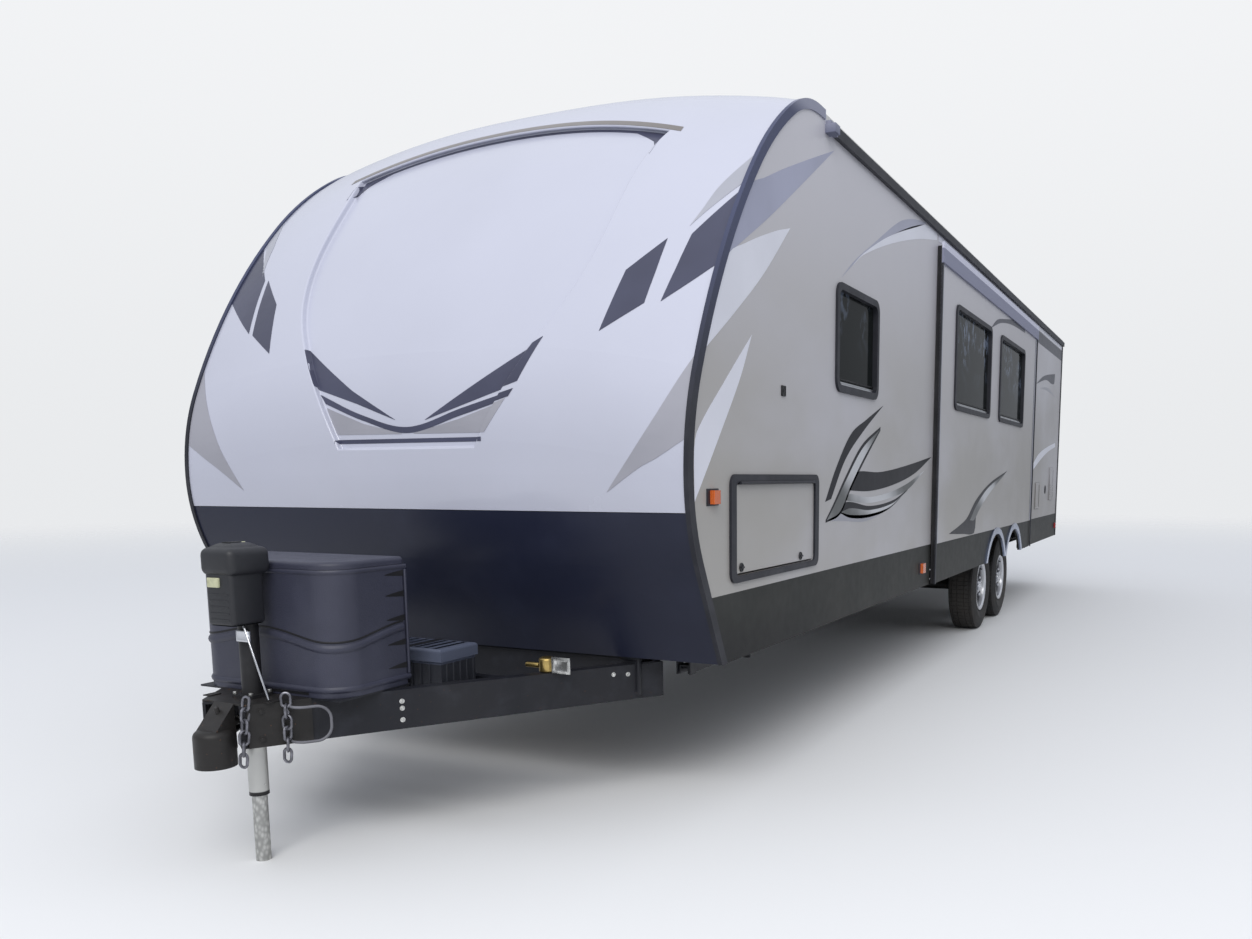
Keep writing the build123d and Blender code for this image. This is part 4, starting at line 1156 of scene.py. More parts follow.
hubs = {f"{side}_{row}": (sign * hub_offset, at(station), hub_height)
        for side, sign in (("left", 1), ("right", -1))
        for row, station in zip(("front", "rear"), axle_stations)}
first_hub = Vector(hubs["left_front"])
tyre = make_tyre(hubs["left_front"])
for corner, hub in hubs.items():
    copied = twin(tyre, Matrix.Translation(Vector(hub) - first_hub))
    fit(copied, f"ribbed_tyre_{corner}", rubber, f"wheel_{corner}", 40)
    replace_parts(copied, f"tyre_{corner}")
bpy.data.objects.remove(tyre)
print("tyre faces", made["ribbed_tyre_left_front"])

# %% [markdown]
# Each wheel is held by six nuts round a cap that covers the bearing, and a valve stem stands near
# its rim. A nut is a six-sided bar with its end face stepped in to a dome, and the cap is a round
# bar stepped the same way.

# %% Wheel hardware
nut_circle = 0.0697
nut_radius = 0.0125


def wheel_nuts(place, first, steps):
    """Six nuts round a hub; place gives the two ends of a nut from its offsets on the circle."""
    nuts = []
    for number in range(6):
        turn = math.radians(60 * number + first)
        ends = place(nut_circle * math.cos(turn), nut_circle * math.sin(turn))
        nuts.append(rod(*ends, nut_radius, 0.0012, 6, steps))
    return nuts


def hub_nut(run, rise):
    x, y, z = hubs["left_front"]
    return (x + 0.062, y + run, z + rise), (x + 0.088, y + run, z + rise)


nuts = wheel_nuts(hub_nut, 30, [(0.0015, 0.001), (0.004, 0.003)])
bearing_cap = rod(first_hub + Vector((0.045, 0, 0)), first_hub + Vector((0.088, 0, 0)), 0.042,
                  0.002, 40, [(0.003, 0.0), (0.006, 0.006), (0.012, 0.003), (0.006, -0.002)])
wheel_caps = join(nuts + [bearing_cap])
stem = rod(first_hub + Vector((0.070, 0, 0.152)), first_hub + Vector((0.098, 0, 0.140)), 0.0055,
           0.0008, 16, [(0.0012, 0.0), (0.0, 0.004)])
for corner, hub in hubs.items():
    mirror = across if hub[0] < 0 else Matrix.Identity(4)
    carry = Matrix.Translation(Vector(hub)) @ mirror @ Matrix.Translation(-first_hub)
    fit(twin(wheel_caps, carry), f"hub_cap_and_nuts_{corner}", chrome, f"wheel_{corner}")
    fit(twin(stem, carry), f"valve_stem_{corner}", trim_black, f"wheel_{corner}")
bpy.data.objects.remove(wheel_caps)
bpy.data.objects.remove(stem)
print("nuts, caps and stems on", len(hubs), "wheels")

# %% [markdown]
# Two thumb latches near its lower edge keep a baggage door shut, each a round bezel with a flat
# knob across it. The same call makes all four.


# %% Latches and locks
def thumb_latch(station, height, side=1):
    near = wall + 0.0002
    bezel = rod((side * near, at(station), height), (side * (near + 0.005), at(station), height),
                0.017, 0.0012, 32, [(0.004, 0.0), (0.0006, -0.0025)])
    knob = box_at(side, near, near + 0.011, station - 0.012, station + 0.012, height - 0.0035,
                  height + 0.0035, 0.0012)
    return join([bezel, knob])


for side, hand in both_sides:
    for label, station in (("front", 0.413), ("rear", 1.025)):
        fit(thumb_latch(station, 0.924, side), f"baggage_latch_{label}_{hand}", jack_plastic,
            f"baggage_door_{hand}")
print("baggage latches", 4)

# %% [markdown]
# The propane cover is one thin moulded shell. A double wave is pressed round it as a stiffening
# bead, and a dark strip above it is painted shade in its groove. Plain beads run along its foot and
# under its lid, darts of dark film paint the shade in tapered recesses and an upright rim stands
# where each side ends, and a slot low in front lets the hoses out. A bead is a strip of mesh laid
# on the cover's own outline and given a thickness, which is how a bead stands out of sheet.

# %% Propane cover detail
cover_half, cover_front, cover_rear = 0.322, -0.698, -0.380
cover_corner = 0.100


def cover_outline(share):
    """A point on the cover's outline and the way out of it, from the driver's rear edge round."""
    straight = cover_rear - (cover_front + cover_corner)
    bend = cover_corner * math.pi / 2
    flat = 2 * (cover_half - cover_corner)
    whole = 2 * straight + 2 * bend + flat
    run = share * whole
    if run < straight:
        return Vector((cover_half, cover_rear - run, 0)), Vector((1, 0, 0))
    run -= straight
    for side in (1, -1):
        if run < bend:
            turn = run / cover_corner
            turn = turn if side > 0 else math.pi / 2 - turn
            out = Vector((side * math.cos(turn), -math.sin(turn), 0))
            centre = Vector((side * (cover_half - cover_corner), cover_front + cover_corner, 0))
            return centre + out * cover_corner, out
        run -= bend
        if side > 0:
            if run < flat:
                return Vector((cover_half - cover_corner - run, cover_front, 0)), Vector((0, -1, 0))
            run -= flat
    return Vector((-cover_half, cover_front + cover_corner + run, 0)), Vector((-1, 0, 0))


def cover_band(name, height, width, proud, finish, start=0.0, end=1.0, columns=90):
    """A raised band round the cover; height gives its Z from the share of its length."""
    deselect()
    bpy.ops.mesh.primitive_grid_add(x_subdivisions=columns, y_subdivisions=4, size=1)
    band = bpy.context.object
    for point in band.data.vertices:
        share = start + (point.co.x + 0.5) * (end - start)
        side = point.co.y * 2
        place, out = cover_outline(share)
        swell = proud * (1 - side * side) + 0.0004
        spot = place + out * swell
        point.co = (spot.x, at(spot.y), height(share) + side * width / 2)
    thicken(band, 0.0006, (0, -1, 0))
    return fit(band, name, finish)


def wave_height(share):
    return 0.735 + 0.020 * math.cos((share - 0.5) * 4 * math.pi)


def groove_height(share):
    return wave_height(share) + 0.022


bands = [
    # name, height, width, how proud, finish, where it starts and ends
    ("cover_wave", wave_height, 0.026, 0.006, cover_grey, 0.02, 0.98),
    # painted shade: the groove above the wave is a near-black strip
    ("cover_wave_groove", groove_height, 0.006, 0.0015, dark_rubber_and_painted_shade, 0.02, 0.98),
    ("cover_foot_bead", lambda share: 0.582, 0.020, 0.005, cover_grey, 0.0, 1.0),
    ("cover_lid_lip", lambda share: 0.962, 0.014, 0.003, cover_grey, 0.0, 1.0),
]
for band in bands:
    cover_band(*band)
ahead = (0, -1, 0)
cover_edge = cover_rear * 1000
# painted shade: the darts are tapered recesses in the moulding, and dark film stands in for their
# shade
dart = [
    # ahead of the rear edge, above and below the dart's middle
    (98, 1, 1), (60, 7, 5), (14, 12, 9),
]
for side, hand in both_sides:
    rim = block((side * cover_half - 0.001, at(cover_rear) - 0.012, 0.592),
                (side * cover_half + 0.006, at(cover_rear) - 0.003, 0.952), 0.002, 2,
                [(0.002, 0.001)], (side, 0, 0))
    fit(rim, f"cover_rim_{hand}", cover_grey)
    for number, height in enumerate((938, 868, 786, 702, 622)):
        on_wall(f"cover_dart_shade_{hand}_{number}",
                [(cover_edge - run, height + above) for run, above, below in dart],
                [(cover_edge - run, height - below) for run, above, below in dart],
                dark_rubber_and_painted_shade, place=side * cover_half, columns=8)
fit(block((0.02, at(cover_front) - 0.002, 0.563), (0.19, at(cover_front) + 0.002, 0.575), 0.0012,
          2, [(0.004, -0.0015)], ahead), "cover_hose_slot", dark_rubber_and_painted_shade)
print("propane cover detail", len(made))

# %% [markdown]
# The electric jack has a moulded hood over a ribbed motor block, with a lamp lens in front and a
# bubble level, a switch pad and a plugged hole for the hand crank on top. Bolts hold its flange,
# a clip and a slanting ground strap sit beside its tube, and a pin crosses the drop leg. The hood
# takes the place of the frame's plainer housing and stays inside its outline.

# %% Jack head
jack_y = at(-0.755)
head_front = at(-0.864)
hood_low, hood_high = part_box("jack_housing")
hood = block((hood_low.x + 0.001, hood_low.y + 0.001, 0.956),
             (hood_high.x - 0.001, hood_high.y - 0.001, 1.044), 0.024, 5)
work_face(hood, (0, 0, 1), [(0.008, 0.006), (0.010, 0.005), (0.010, 0.003)])
work_face(hood, (0, 0, -1), [(0.002, 0.006)])
motor = block((-0.058, hood_low.y + 0.010, hood_low.z + 0.001),
              (0.058, hood_high.y - 0.022, 0.985), 0.014, 4, [(0.006, -0.002)], (0, 0, -1))
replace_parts(fit(join([hood, motor]), "jack_hood", jack_plastic, smooth=60.0), "jack_housing")
lens_lamp = Finish("jack_lens", (0.62, 0.62, 0.40), "lens", 0.2, Coat_Weight=0.5)
lens_lamp.mottle((0.45, 0.46, 0.30), 60, 0.3, 0.8)
lens_lamp.rough(0.18 + lens_lamp.noise(90, 2) * 0.1)
lens_lamp.relief((lens_lamp.axes()[0] * 1400).wave(), 0.0004, 0.6)
hood_top = max(point.co.z for point in hood.data.vertices)
eyes = head_front + 0.102
fit_all([
    # name, finish, body, block or rod, and its two ends, sizes and steps
    ("jack_work_lens", lens_lamp, "trailer", block, (-0.042, head_front + 0.004, 0.920),
     (0.010, head_front + 0.013, 0.951), 0.003, 3, [(0.004, -0.0012), (0.002, 0.001)], ahead),
    ("jack_switch_pad", dark_rubber_and_painted_shade, "trailer", block, (-0.020, head_front + 0.050, hood_top - 0.001),
     (0.020, head_front + 0.088, hood_top + 0.002), 0.001, 2, [(0.004, 0.0), (0.001, -0.001)]),
    ("jack_crank_plug", jack_plastic, "trailer", rod, (-0.010, eyes, hood_top - 0.001),
     (-0.010, eyes, hood_top + 0.002), 0.010, 0.0008, 28, [(0.003, 0.0), (0.001, -0.001)]),
    ("jack_level_bubble", lens_lamp, "trailer", rod, (0.014, eyes, hood_top - 0.001),
     (0.014, eyes, hood_top + 0.0015), 0.006, 0.0006, 24, [(0.002, 0.0), (0.0005, 0.0004)]),
])
rib_feet = [0.815 + number * 0.020 for number in range(5)]
ribs = [block((-0.044, head_front + 0.0085, foot), (0.044, head_front + 0.020, foot + 0.007),
              0.002, 2, [(0.004, 0.0005)], ahead) for foot in rib_feet]
fit(join(ribs), "jack_motor_ribs", jack_plastic)
flange_bolts = [rod((dx, jack_y + dy, 0.5655), (dx, jack_y + dy, 0.574), 0.0075, 0.0008, 6,
                    [(0.001, 0.0008)]) for dx in (-0.036, 0.036) for dy in (-0.036, 0.036)]
fit(join(flange_bolts), "jack_flange_bolts", bolt_zinc)
fit_all([
    # the same columns
    ("jack_clip", chrome, "trailer", block, (-0.002, jack_y - 0.046, 0.742),
     (0.058, jack_y - 0.038, 0.778), 0.002, 2, [(0.006, -0.001)], ahead),
    ("jack_ground_strap", chrome, "trailer", rod, (0.038, jack_y - 0.048, 0.798),
     (0.126, jack_y - 0.045, 0.562), 0.0032, 0.0008, 16, [(0.001, 0.0008)]),
    ("drop_leg_pin", bolt_zinc, "jack_leg", rod, (-0.030, jack_y, 0.262), (0.030, jack_y, 0.262),
     0.006, 0.001, 20, [(0.0015, 0.001)]),
])
print("jack head detail done")

# %% [markdown]
# The battery sits in a plastic box with ribs on its lid, its front and its end, and a strap over
# it. Each set of ribs is one bar repeated at an even pitch.

# %% Battery box
box_left = 0.026
rib_rows = [
    # low and high corner of the first rib, pitch along X and Y, count, edge, step, worked face
    ((0.020, -0.255, 0.6535), (0.040, -0.085, 0.6550), (0.044, 0), 7, 0.0006,
     (0.003, 0.0), (0, 0, 1)),
    ((0.030, -0.2665, 0.450), (0.040, -0.260, 0.600), (0.040, 0), 7, 0.0015,
     (0.002, 0.0005), ahead),
    ((0.3285, -0.240, 0.450), (0.3345, -0.230, 0.600), (0, 0.036), 5, 0.0015,
     (0.002, 0.0005), (1, 0, 0)),
]
box_ribs = []
for low, high, pitch, count, edge, step, worked in rib_rows:
    for number in range(count):
        slide = Vector((box_left + pitch[0] * number, front + pitch[1] * number, 0))
        box_ribs.append(block(Vector(low) + slide, Vector(high) + slide, edge, 2, [step], worked))
fit(join(box_ribs), "battery_box_ribs", battery_plastic)
strap = (box_left + 0.150, box_left + 0.185)
strap_top = block((strap[0], at(-0.272), 0.6545), (strap[1], at(-0.068), 0.6560), 0.0004, 1,
                  [(0.003, 0.0)], (0, 0, 1))
strap_front = block((strap[0], at(-0.2735), 0.430), (strap[1], at(-0.2705), 0.6560), 0.0004, 1,
                    [(0.003, 0.0)], ahead)
fit(join([strap_top, strap_front]), "battery_strap", dark_rubber_and_painted_shade)
print("battery box detail done")

# %% [markdown]
# Two safety chains hang straight down beside the coupler on the driver's side. A link is a ring of
# round bar, stretched into an oval; one link is made from a torus, and copies of it follow the
# line of the chain, each turned a quarter against the last.

# %% Safety chains
deselect()
bpy.ops.mesh.primitive_torus_add(major_radius=0.0105, minor_radius=0.0034, major_segments=16,
                                 minor_segments=8)
link = bpy.context.object
link_stretch = 0.012
bpy.ops.object.mode_set(mode="EDIT")
bpy.ops.mesh.select_all(action="DESELECT")
bpy.ops.object.mode_set(mode="OBJECT")
for point in link.data.vertices:
    point.select = point.co.x > 0.0001
bpy.ops.object.mode_set(mode="EDIT")
bpy.ops.transform.translate(value=(link_stretch, 0, 0))
bpy.ops.object.mode_set(mode="OBJECT")
link.data.transform(Matrix.Translation((-link_stretch / 2, 0, 0)))
link.data.transform(Matrix.Scale(1.35, 4))
link_pitch = 0.0355


def hanging_line(start, middle, end, count=200):
    """Points along a smooth line through three."""
    start, middle, end = Vector(start), Vector(middle), Vector(end)
    control = middle * 2 - (start + end) * 0.5
    return [start * (1 - t) ** 2 + control * 2 * t * (1 - t) + end * t * t
            for t in (step / count for step in range(count + 1))]


def chain(name, *course):
    """Links along a line, from the tongue down; returns how many."""
    line = hanging_line(*course)
    travelled, due, links = 0.0, 0.0, []
    for here, there in zip(line, line[1:]):
        if travelled >= due:
            heading = (there - here).to_track_quat("X", "Z").to_matrix().to_4x4()
            roll_over = Matrix.Rotation(math.pi / 2 * (len(links) % 2) + 0.35, 4, "X")
            links.append(twin(link, Matrix.Translation(here) @ heading @ roll_over))
            due += link_pitch
        travelled += (there - here).length
    fit(join(links), name, chain_zinc)
    return len(links)


chain_zinc = galvanised("chain_zinc", (0.25, 0.25, 0.28), 0.3)
bolt_bright = galvanised("bolt_bright", (0.72, 0.72, 0.70), 0.2)
front_links = chain("safety_chain_front", (0.098, at(-0.862), 0.560),
                    (0.103, at(-0.880), 0.455), (0.098, at(-0.886), 0.352))
rear_links = chain("safety_chain_rear", (0.172, at(-0.775), 0.562),
                   (0.180, at(-0.782), 0.462), (0.178, at(-0.786), 0.372))
bpy.data.objects.remove(link)
print("links", front_links, rear_links)

# %% [markdown]
# The coupler closes over the ball with a latch: a pressed lever on the top plate with a lock pin
# through it. Bolts with washers hold the tongue together, and a chain anchor stands on each of its
# rails. Every bolt is one helper call.

# %% Coupler latch, bolts and anchors
ball_station = -0.905
lever = block((-0.020, at(ball_station) - 0.010, 0.4795), (0.020, at(-0.770), 0.497), 0.004, 2,
              [(0.006, 0.0), (0.001, -0.004)])
handle = rod((0, at(ball_station) + 0.030, 0.495), (0, at(ball_station) + 0.012, 0.545), 0.008,
             0.002, 20, [(0.002, 0.002)])
fit(join([lever, handle]), "coupler_latch", coupler_steel)
lock_pin = rod((-0.034, at(-0.835), 0.505), (0.034, at(-0.835), 0.505), 0.004, 0.0008, 16,
               [(0.001, 0.001)])
fit(lock_pin, "coupler_lock_pin", bolt_bright)


def bolt(place, out, radius=0.008):
    """A hexagon head on a washer."""
    place, out = Vector(place), Vector(out).normalized()
    washer = rod(place - out * 0.001, place + out * 0.002, radius * 1.6, 0.0006, 24,
                 [(0.001, 0.0)])
    seat = place + out * 0.0018
    head = rod(seat, seat + out * radius * 0.7, radius, 0.0008, 6, [(0.0015, 0.0004)])
    return join([washer, head])


rail_lean = math.radians(33.5)
rail_apex, rail_half = 0.957, 0.025


def rail_face(station, height, side=1, outward=0.0):
    """A point on the outer face of an A-frame rail."""
    middle = (station + rail_apex) * math.tan(rail_lean)
    reach = middle + rail_half / math.cos(rail_lean) + outward
    return Vector((side * reach, at(station), height))


def rail_bolts(name, finish, spots, radius, outward=0.0):
    """The same bolts on both rails, at (station, height)."""
    bolts = []
    for side in (1, -1):
        normal = (side * math.cos(rail_lean), -math.sin(rail_lean), 0)
        bolts += [bolt(rail_face(*spot, side, outward), normal, radius) for spot in spots]
    return fit(join(bolts), name, finish)


rail_spots = [(-0.463, 0.511), (-0.463, 0.487), (-0.463, 0.447), (0.19, 0.520), (0.24, 0.515)]
plate_spots = [(station, height) for station in (-0.83, -0.76) for height in (0.53, 0.44)]
rail_bolts("tongue_bolts", bolt_bright, rail_spots, 0.0055)
rail_bolts("coupler_bolts", coupler_steel, plate_spots, 0.007, 0.009)
anchors = []
for side in (1, -1):
    foot = rail_face(-0.80, 0.536, side)
    anchors.append(block((foot.x - 0.016, foot.y - 0.022, 0.5555),
                         (foot.x + 0.016, foot.y + 0.022, 0.5595), 0.001, 2,
                         [(0.004, 0.0), (0.001, -0.0015)]))
fit(join(anchors), "chain_anchors", coupler_steel)
print("tongue hardware", len(made))

# %% [markdown]
# Between the A-frame and the body, a brass regulator with its hose stub stands on the header, with
# a bright bracket beside it, and a dark plate covers the header's front.

# %% Regulator and brackets
brass = polished("brass", (0.52, 0.38, 0.14), "zinc", 0.28)
regulator = rod((0.62, at(0.005), 0.553), (0.62, at(0.005), 0.600), 0.030, 0.003, 32,
                [(0.006, 0.004), (0.008, 0.003)])
stub = rod((0.585, at(0.005), 0.572), (0.530, at(0.005), 0.572), 0.010, 0.001, 20, [(0.002, 0.004)])
fit(join([regulator, stub]), "gas_regulator", brass)
bracket_plate = block((0.655, at(-0.020), 0.552), (0.735, at(-0.014), 0.612), 0.0015, 2,
                      [(0.012, 0.0), (0.002, -0.001)], ahead)
fit(bracket_plate, "regulator_bracket", bolt_bright)
header = block((-0.86, at(0.262), 0.4305), (0.86, at(0.284), 0.5795), 0.003, 2,
               [(0.012, 0.0), (0.004, -0.006)], ahead)
fit(header, "front_header_plate", steel_black)
print("regulator and header done")

# %% [markdown]
# Windows on a trailer are clamp-ring units: the glass sits in a dark ring, and a bright lower rail
# carries the hopper vent with a thin sash bar above it. The rail is a bar with its face stepped
# in; the table gives each window's side, station, middle height and size.

# %% Window rails
windows = [
    # side, station, middle height, width, height, X of the glass face, body
    (1, 1.775, 1.895, 0.650, 0.490, 1.2055, "trailer"),
    (-1, 1.775, 1.895, 0.650, 0.490, 1.2055, "trailer"),
    (-1, 5.750, 2.060, 0.760, 0.460, 1.2055, "trailer"),
    (-1, 7.500, 1.990, 1.150, 0.620, 1.2055, "trailer"),
    (1, 4.345, 2.040, 1.210, 0.680, 1.2335, "slide_out_room"),
    (1, 5.920, 2.040, 1.180, 0.680, 1.2335, "slide_out_room"),
]
ring_width = 0.030
for number, (side, station, height, width, tall, face, body) in enumerate(windows):
    reach = width / 2 - ring_width
    span = (station - reach, station + reach)
    near, foot = face - 0.0005, height - tall / 2 + ring_width
    fit_boxes(f"window_rail_{number}", bright_rail, body,
              (side, near, face + 0.007, *span, foot, foot + 0.020, 0.0015,
               [(0.005, 0.0), (0.001, -0.002)]))
    fit_boxes(f"window_sash_{number}", dark_rubber_and_painted_shade, body,
              (side, near, face + 0.005, *span, foot + 0.028, foot + 0.036, 0.0012,
               [(0.002, 0.0), (0.0005, -0.001)]))
print("window rails", len(windows))

# %% [markdown]
# The slide-out's face overlaps the wall, so its front edge is closed by a bulb seal, a black strip
# that runs its whole height. Without it the pale edge of the sheet would show.

# %% Slide-out edge seal
fit_boxes("slide_edge_seal", dark_rubber_and_painted_shade, "slide_out_room",
          (1, 1.2225, 1.2465, 3.3180, 3.3197, 0.582, 2.659, 0.0004,
           [(0.004, 0.0), (0.001, -0.0003)], (0, -1, 0)))
print("slide-out seal", len(made))

# %% [markdown]
# The side carries a few moulded fittings: a cable port, a water inlet, a utility hatch and the
# water heater's louvred door on the driver's side, and bezels round the clearance lamps on both.
# Each is a box or a disc whose face is stepped in and out again, which leaves a groove.


# %% Wall fittings
def grooved(rim, slope, gap):
    """Steps that leave a groove round a raised middle: its rim, its slope and its floor."""
    return [(rim, 0.0), (slope, -slope), (gap, 0.0), (slope, slope)]


base = wall - 0.001
fit_boxes("cable_port", dark_rubber_and_painted_shade, "trailer",
          (1, base, wall + 0.006, 0.801, 0.843, 1.582, 1.624, 0.002, grooved(0.004, 0.002, 0.008)))
lamps = [
    # station, middle height, half of the lens height
    (0.170, 1.190, 0.026), (3.100, 0.700, 0.033), (9.180, 0.700, 0.033),
]
fit_boxes("lamp_bezels", trim_black, "trailer", *[
    (side, base, wall + 0.004, station - half - 0.020, station + half + 0.020,
     height - half - 0.004, height + half + 0.004, 0.0015, [(0.006, 0.0)])
    for side in (1, -1) for station, height, half in lamps])
fit(rod((base, at(8.35), 1.12), (wall + 0.005, at(8.35), 1.12), 0.045, 0.002, 40,
        grooved(0.006, 0.002, 0.016)), "water_inlet", jack_plastic)
fit_boxes("utility_hatch", siding_paint, "trailer",
          (1, base, wall + 0.006, 7.62, 7.90, 0.93, 1.20, 0.006, grooved(0.008, 0.002, 0.012)))
fit_boxes("water_heater_door", siding_paint, "trailer",
          (1, base, wall + 0.008, 8.62, 8.92, 1.00, 1.36, 0.006, grooved(0.010, 0.003, 0.014)))
fit_boxes("water_heater_louvres", siding_paint, "trailer", *[
    (1, wall + 0.006, wall + 0.012, 8.66, 8.88, 1.06 + 0.026 * row, 1.072 + 0.026 * row, 0.0015,
     [(0.003, 0.001)]) for row in range(5)])
print("wall fittings", len(made))

# %% [markdown]
# The entry door has a lever lock and a dead bolt above it, and behind the wheels the fridge vent is
# a louvred panel. A porch lamp hangs beside the door. The awning's roll ends in moulded caps.

# %% Curb side fittings
fit_boxes("door_lever", dark_rubber_and_painted_shade, "entry_door",
          (-1, base, wall + 0.008, 4.655, 4.735, 1.52, 1.72, 0.006,
           [(0.006, 0.0), (0.002, -0.002)]),
          (-1, wall + 0.006, wall + 0.034, 4.672, 4.718, 1.575, 1.600, 0.005, [(0.006, 0.001)]))
lock_y = at(4.695)
fit_all([
    # name, finish, body, helper, and its two ends, sizes and steps
    ("door_lock_cylinder", bolt_bright, "entry_door", rod, (-wall - 0.007, lock_y, 1.665),
     (-wall - 0.014, lock_y, 1.665), 0.012, 0.001, 24, [(0.003, 0.0), (0.001, -0.001)]),
    ("door_dead_bolt", dark_rubber_and_painted_shade, "entry_door", rod, (-wall + 0.001, lock_y, 1.80),
     (-wall - 0.010, lock_y, 1.80), 0.024, 0.002, 32, [(0.005, 0.0), (0.001, -0.002)]),
])
fit_boxes("fridge_vent", cap_white, "trailer",
          (-1, base, wall + 0.008, 6.55, 7.08, 1.18, 1.52, 0.006, [(0.014, 0.0), (0.003, -0.003)]),
          *[(-1, wall + 0.004, wall + 0.011, 6.575, 7.055, 1.205 + 0.027 * row,
             1.220 + 0.027 * row, 0.002, [(0.003, 0.001)]) for row in range(11)])
fit_boxes("porch_lamp_base", cap_white, "trailer",
          (-1, base, wall + 0.012, 5.02, 5.14, 1.90, 2.00, 0.006, [(0.010, 0.0), (0.003, -0.002)]))
fit_boxes("porch_lamp_lens", lens_clear, "trailer",
          (-1, wall + 0.009, wall + 0.030, 5.035, 5.125, 1.91, 1.99, 0.008, [(0.006, 0.001)]))
roll_x, roll_z, roll_radius = -1.292, 2.702, 0.0498
end_caps = []
for outer, inner in ((3.350, 3.380), (8.350, 8.320)):
    end_caps.append(rod((roll_x, at(inner), roll_z), (roll_x, at(outer), roll_z), roll_radius,
                        0.003, 40, [(0.006, 0.0), (0.004, -0.003), (0.020, 0.0), (0.003, 0.002)]))
fit(join(end_caps), "awning_end_caps", jack_plastic)
print("curb side fittings", len(made))

# %% [markdown]
# Steps get a ribbed rubber tread. On the roof the air conditioner's shroud has inlet slots and
# each vent lid has raised ribs.

# %% Steps and roof
fit_boxes("step_tread", rubber, "trailer", *[
    (-1, 0.845 + 0.034 * row, 0.863 + 0.034 * row, 4.109, 4.694, 0.568, 0.5705, 0.0008,
     [(0.003, 0.0)], (0, 0, 1)) for row in range(9)])
shroud_low, shroud_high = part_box("air_conditioner")
first_slot = shroud_low.y - front + 0.22
fit_boxes("shroud_slots", dark_rubber_and_painted_shade, "trailer", *[
    (side, shroud_high.x - 0.004, shroud_high.x + 0.0015, first_slot + 0.050 * row,
     first_slot + 0.050 * row + 0.022, 3.02, 3.11, 0.002, [(0.004, -0.002)])
    for side in (1, -1) for row in range(12)])
vent_middles = (2.600, 7.700)
rib_middles = [middle - 0.135 + 0.090 * row for middle in vent_middles for row in range(4)]
fit_boxes("vent_lid_ribs", roof_white, "trailer", *[
    (1, -0.150, 0.150, middle - 0.010, middle + 0.010, 3.010, 3.0165, 0.003, [(0.004, 0.0005)],
     (0, 0, 1)) for middle in rib_middles])
print("steps and roof", len(made))

# %% [markdown]
# At the tail the lamps sit in bezels, a graphite trim closes the foot of the rear wall, a blank
# number plate hangs beside one lamp, the bumper is closed by end caps, and six nuts hold the spare
# wheel on its carrier.

# %% Tail
aft = (0, 1, 0)
fit_boxes("tail_lamp_bezels", trim_black, "trailer", *[
    (side, 0.995, 1.205, 9.309, 9.316, 0.935, 1.195, 0.003, [(0.012, 0.0), (0.002, -0.002)], aft)
    for side in (1, -1)])
fit_boxes("rear_sill_trim", skirt_grey, "trailer",
          (1, -1.200, 1.200, 9.3075, 9.3140, 0.752, 0.8380, 0.002,
           [(0.010, 0.0), (0.003, -0.002)], aft))
fit_boxes("blank_number_plate", vinyl_white, "trailer",
          (1, 0.62, 0.925, 9.310, 9.316, 0.930, 1.085, 0.002, [(0.006, 0.0), (0.001, -0.001)], aft))
plate_screws = [rod((x, at(9.315), 1.068), (x, at(9.320), 1.068), 0.006, 0.0008, 20,
                    [(0.0015, 0.0), (0.0005, -0.0008)]) for x in (0.70, 0.845)]
fit(join(plate_screws), "plate_screws", bolt_zinc)
fit_boxes("bumper_end_caps", jack_plastic, "trailer", *[
    (side, 1.1255, 1.1295, 9.335, 9.425, 0.606, 0.694, 0.0012, [(0.010, 0.0), (0.003, 0.0005)])
    for side in (1, -1)])
spare_height = 1.08
spare_nuts = wheel_nuts(lambda run, rise: [(run, at(station), spare_height + rise)
                                           for station in (9.560, 9.590)], 0, [(0.0015, 0.001)])
fit(join(spare_nuts), "spare_wheel_nuts", chrome)
print("pieces so far", len(made))

# %% [markdown]
# A pale studio: the floor runs out into the air with no line between them, and the camera sees both
# as nearly white. Seen by the camera or in a mirror the floor is pale, but the light it throws back
# up is that of a darker one, so the trailer's underside stays in shade.

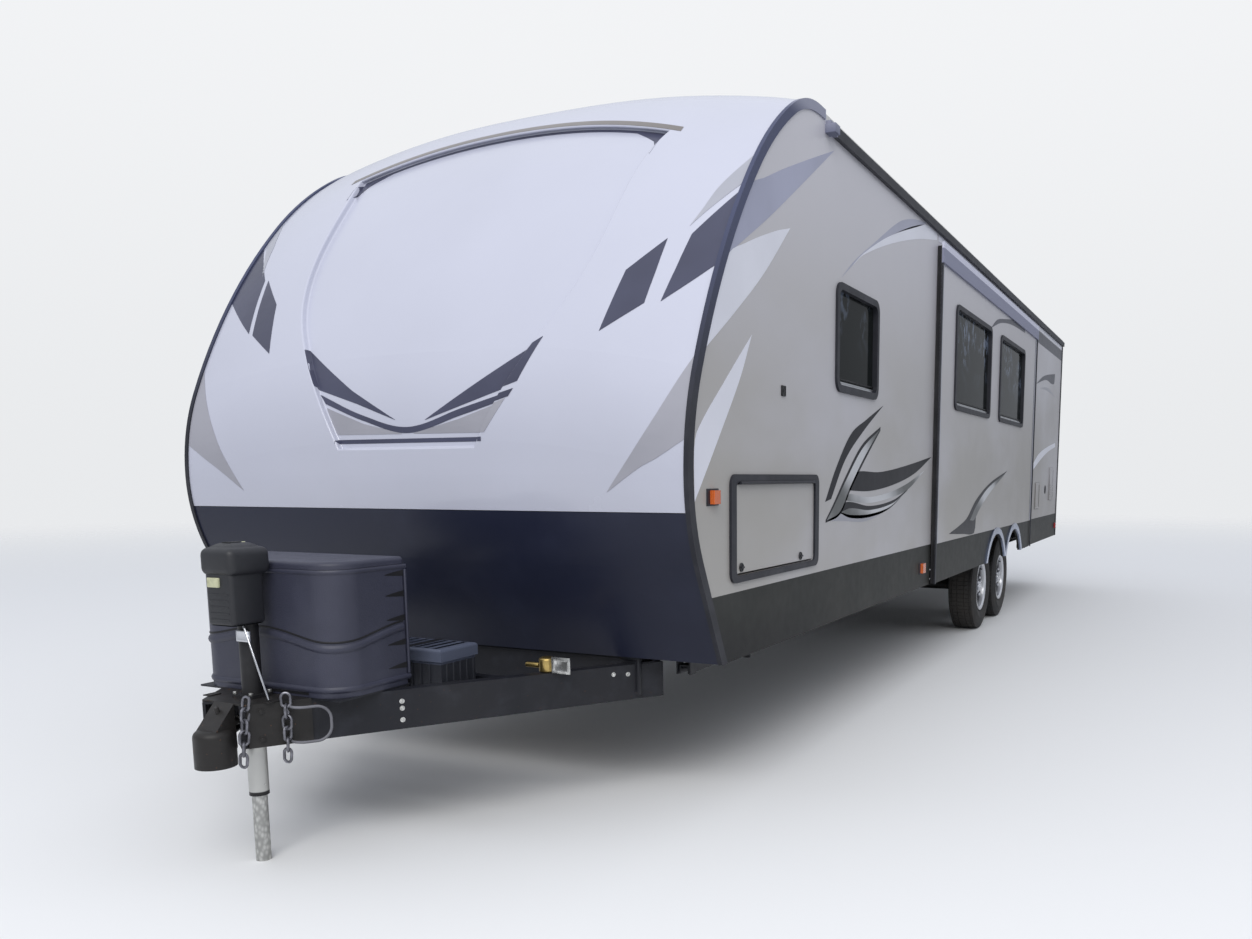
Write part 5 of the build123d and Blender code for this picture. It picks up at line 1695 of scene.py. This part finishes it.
# %% Studio
scene = bpy.context.scene
scene.view_settings.view_transform = "Standard"
deselect()
bpy.ops.mesh.primitive_plane_add(size=240, location=(0, 0, 0))
floor = bpy.context.object
floor.name = "studio_floor"
floor_finish = Finish("studio_floor", (0.70, 0.72, 0.74), "floor_board", 0.9)
shown = floor_finish.seen_by("Camera", "Glossy")
floor_finish.colour(floor_finish.blend(shown, (0.40, 0.41, 0.42, 1), (0.83, 0.835, 0.84, 1)))
x, y, z = floor_finish.axes()
distance = ((x - 0.5) * (x - 0.5) + (y + 0.5) * (y + 0.5)).root()
clear = floor_finish.node("ShaderNodeBsdfTransparent")
fade = floor_finish.above(distance, 7, 30)
both = floor_finish.node("ShaderNodeMixShader", None, {
    0: fade, 1: floor_finish.shader.outputs[0], 2: clear.outputs[0]})
ending = floor_finish.tree.nodes["Material Output"]
floor_finish.tree.links.new(both.outputs[0], ending.inputs["Surface"])
floor.data.materials.append(floor_finish.material)
print("floor fades out from 7 m")


# %% [markdown]
# The air gives most of the light, brighter overhead than at the horizon. The camera sees a paler
# air than the one that lights the trailer, so the backdrop stays even.


# %% Air
class Air(Finish):
    """The world's nodes, built in the same way as a finish."""

    def __init__(self, world):
        world.use_nodes = True
        self.tree = world.node_tree


world = bpy.data.worlds.new("studio_air")
scene.world = world
air = Air(world)
direction = air.node("ShaderNodeTexCoord").outputs["Generated"]
split = air.node("ShaderNodeSeparateXYZ", None, {0: direction})
rise = Number(air, split.outputs["Z"])
plain = air.seen_by("Camera", "Transmission")
backdrop = air.blend(air.above(rise, -0.05, 0.45), (0.812, 0.825, 0.842, 1),
                     (0.895, 0.905, 0.922, 1))
lit = air.blend(air.above(rise, -0.1, 0.9), (0.40, 0.42, 0.45, 1), (0.86, 0.89, 0.96, 1))
background = air.tree.nodes["Background"]
air.feed(background.inputs["Color"], air.blend(plain, lit, backdrop))
background.inputs["Strength"].default_value = 1.0
print("air is brighter overhead")

# %% [markdown]
# One large soft lamp stands high in front on the driver's side and models the rounded nose.

# %% Lamp
lamp_data = bpy.data.lights.new("front_softbox", "AREA")
lamp_data.shape = "RECTANGLE"
lamp_data.size, lamp_data.size_y = 9, 6
lamp_data.energy = 900
lamp_data.color = (1.0, 0.985, 0.96)
lamp = bpy.data.objects.new("front_softbox", lamp_data)
scene.collection.objects.link(lamp)
lamp_place = Vector((4.5, -13, 9))
aim = (Vector((0, -2.5, 1.3)) - lamp_place).to_track_quat("-Z", "Y").to_matrix().to_4x4()
lamp.matrix_world = Matrix.Translation(lamp_place) @ aim
print("lamp", lamp_data.energy, "W")

# %% [markdown]
# Last, the count of added pieces and of their faces is printed.

# %% Close
deselect()
print("pieces added", len(made), "faces", sum(made.values()))
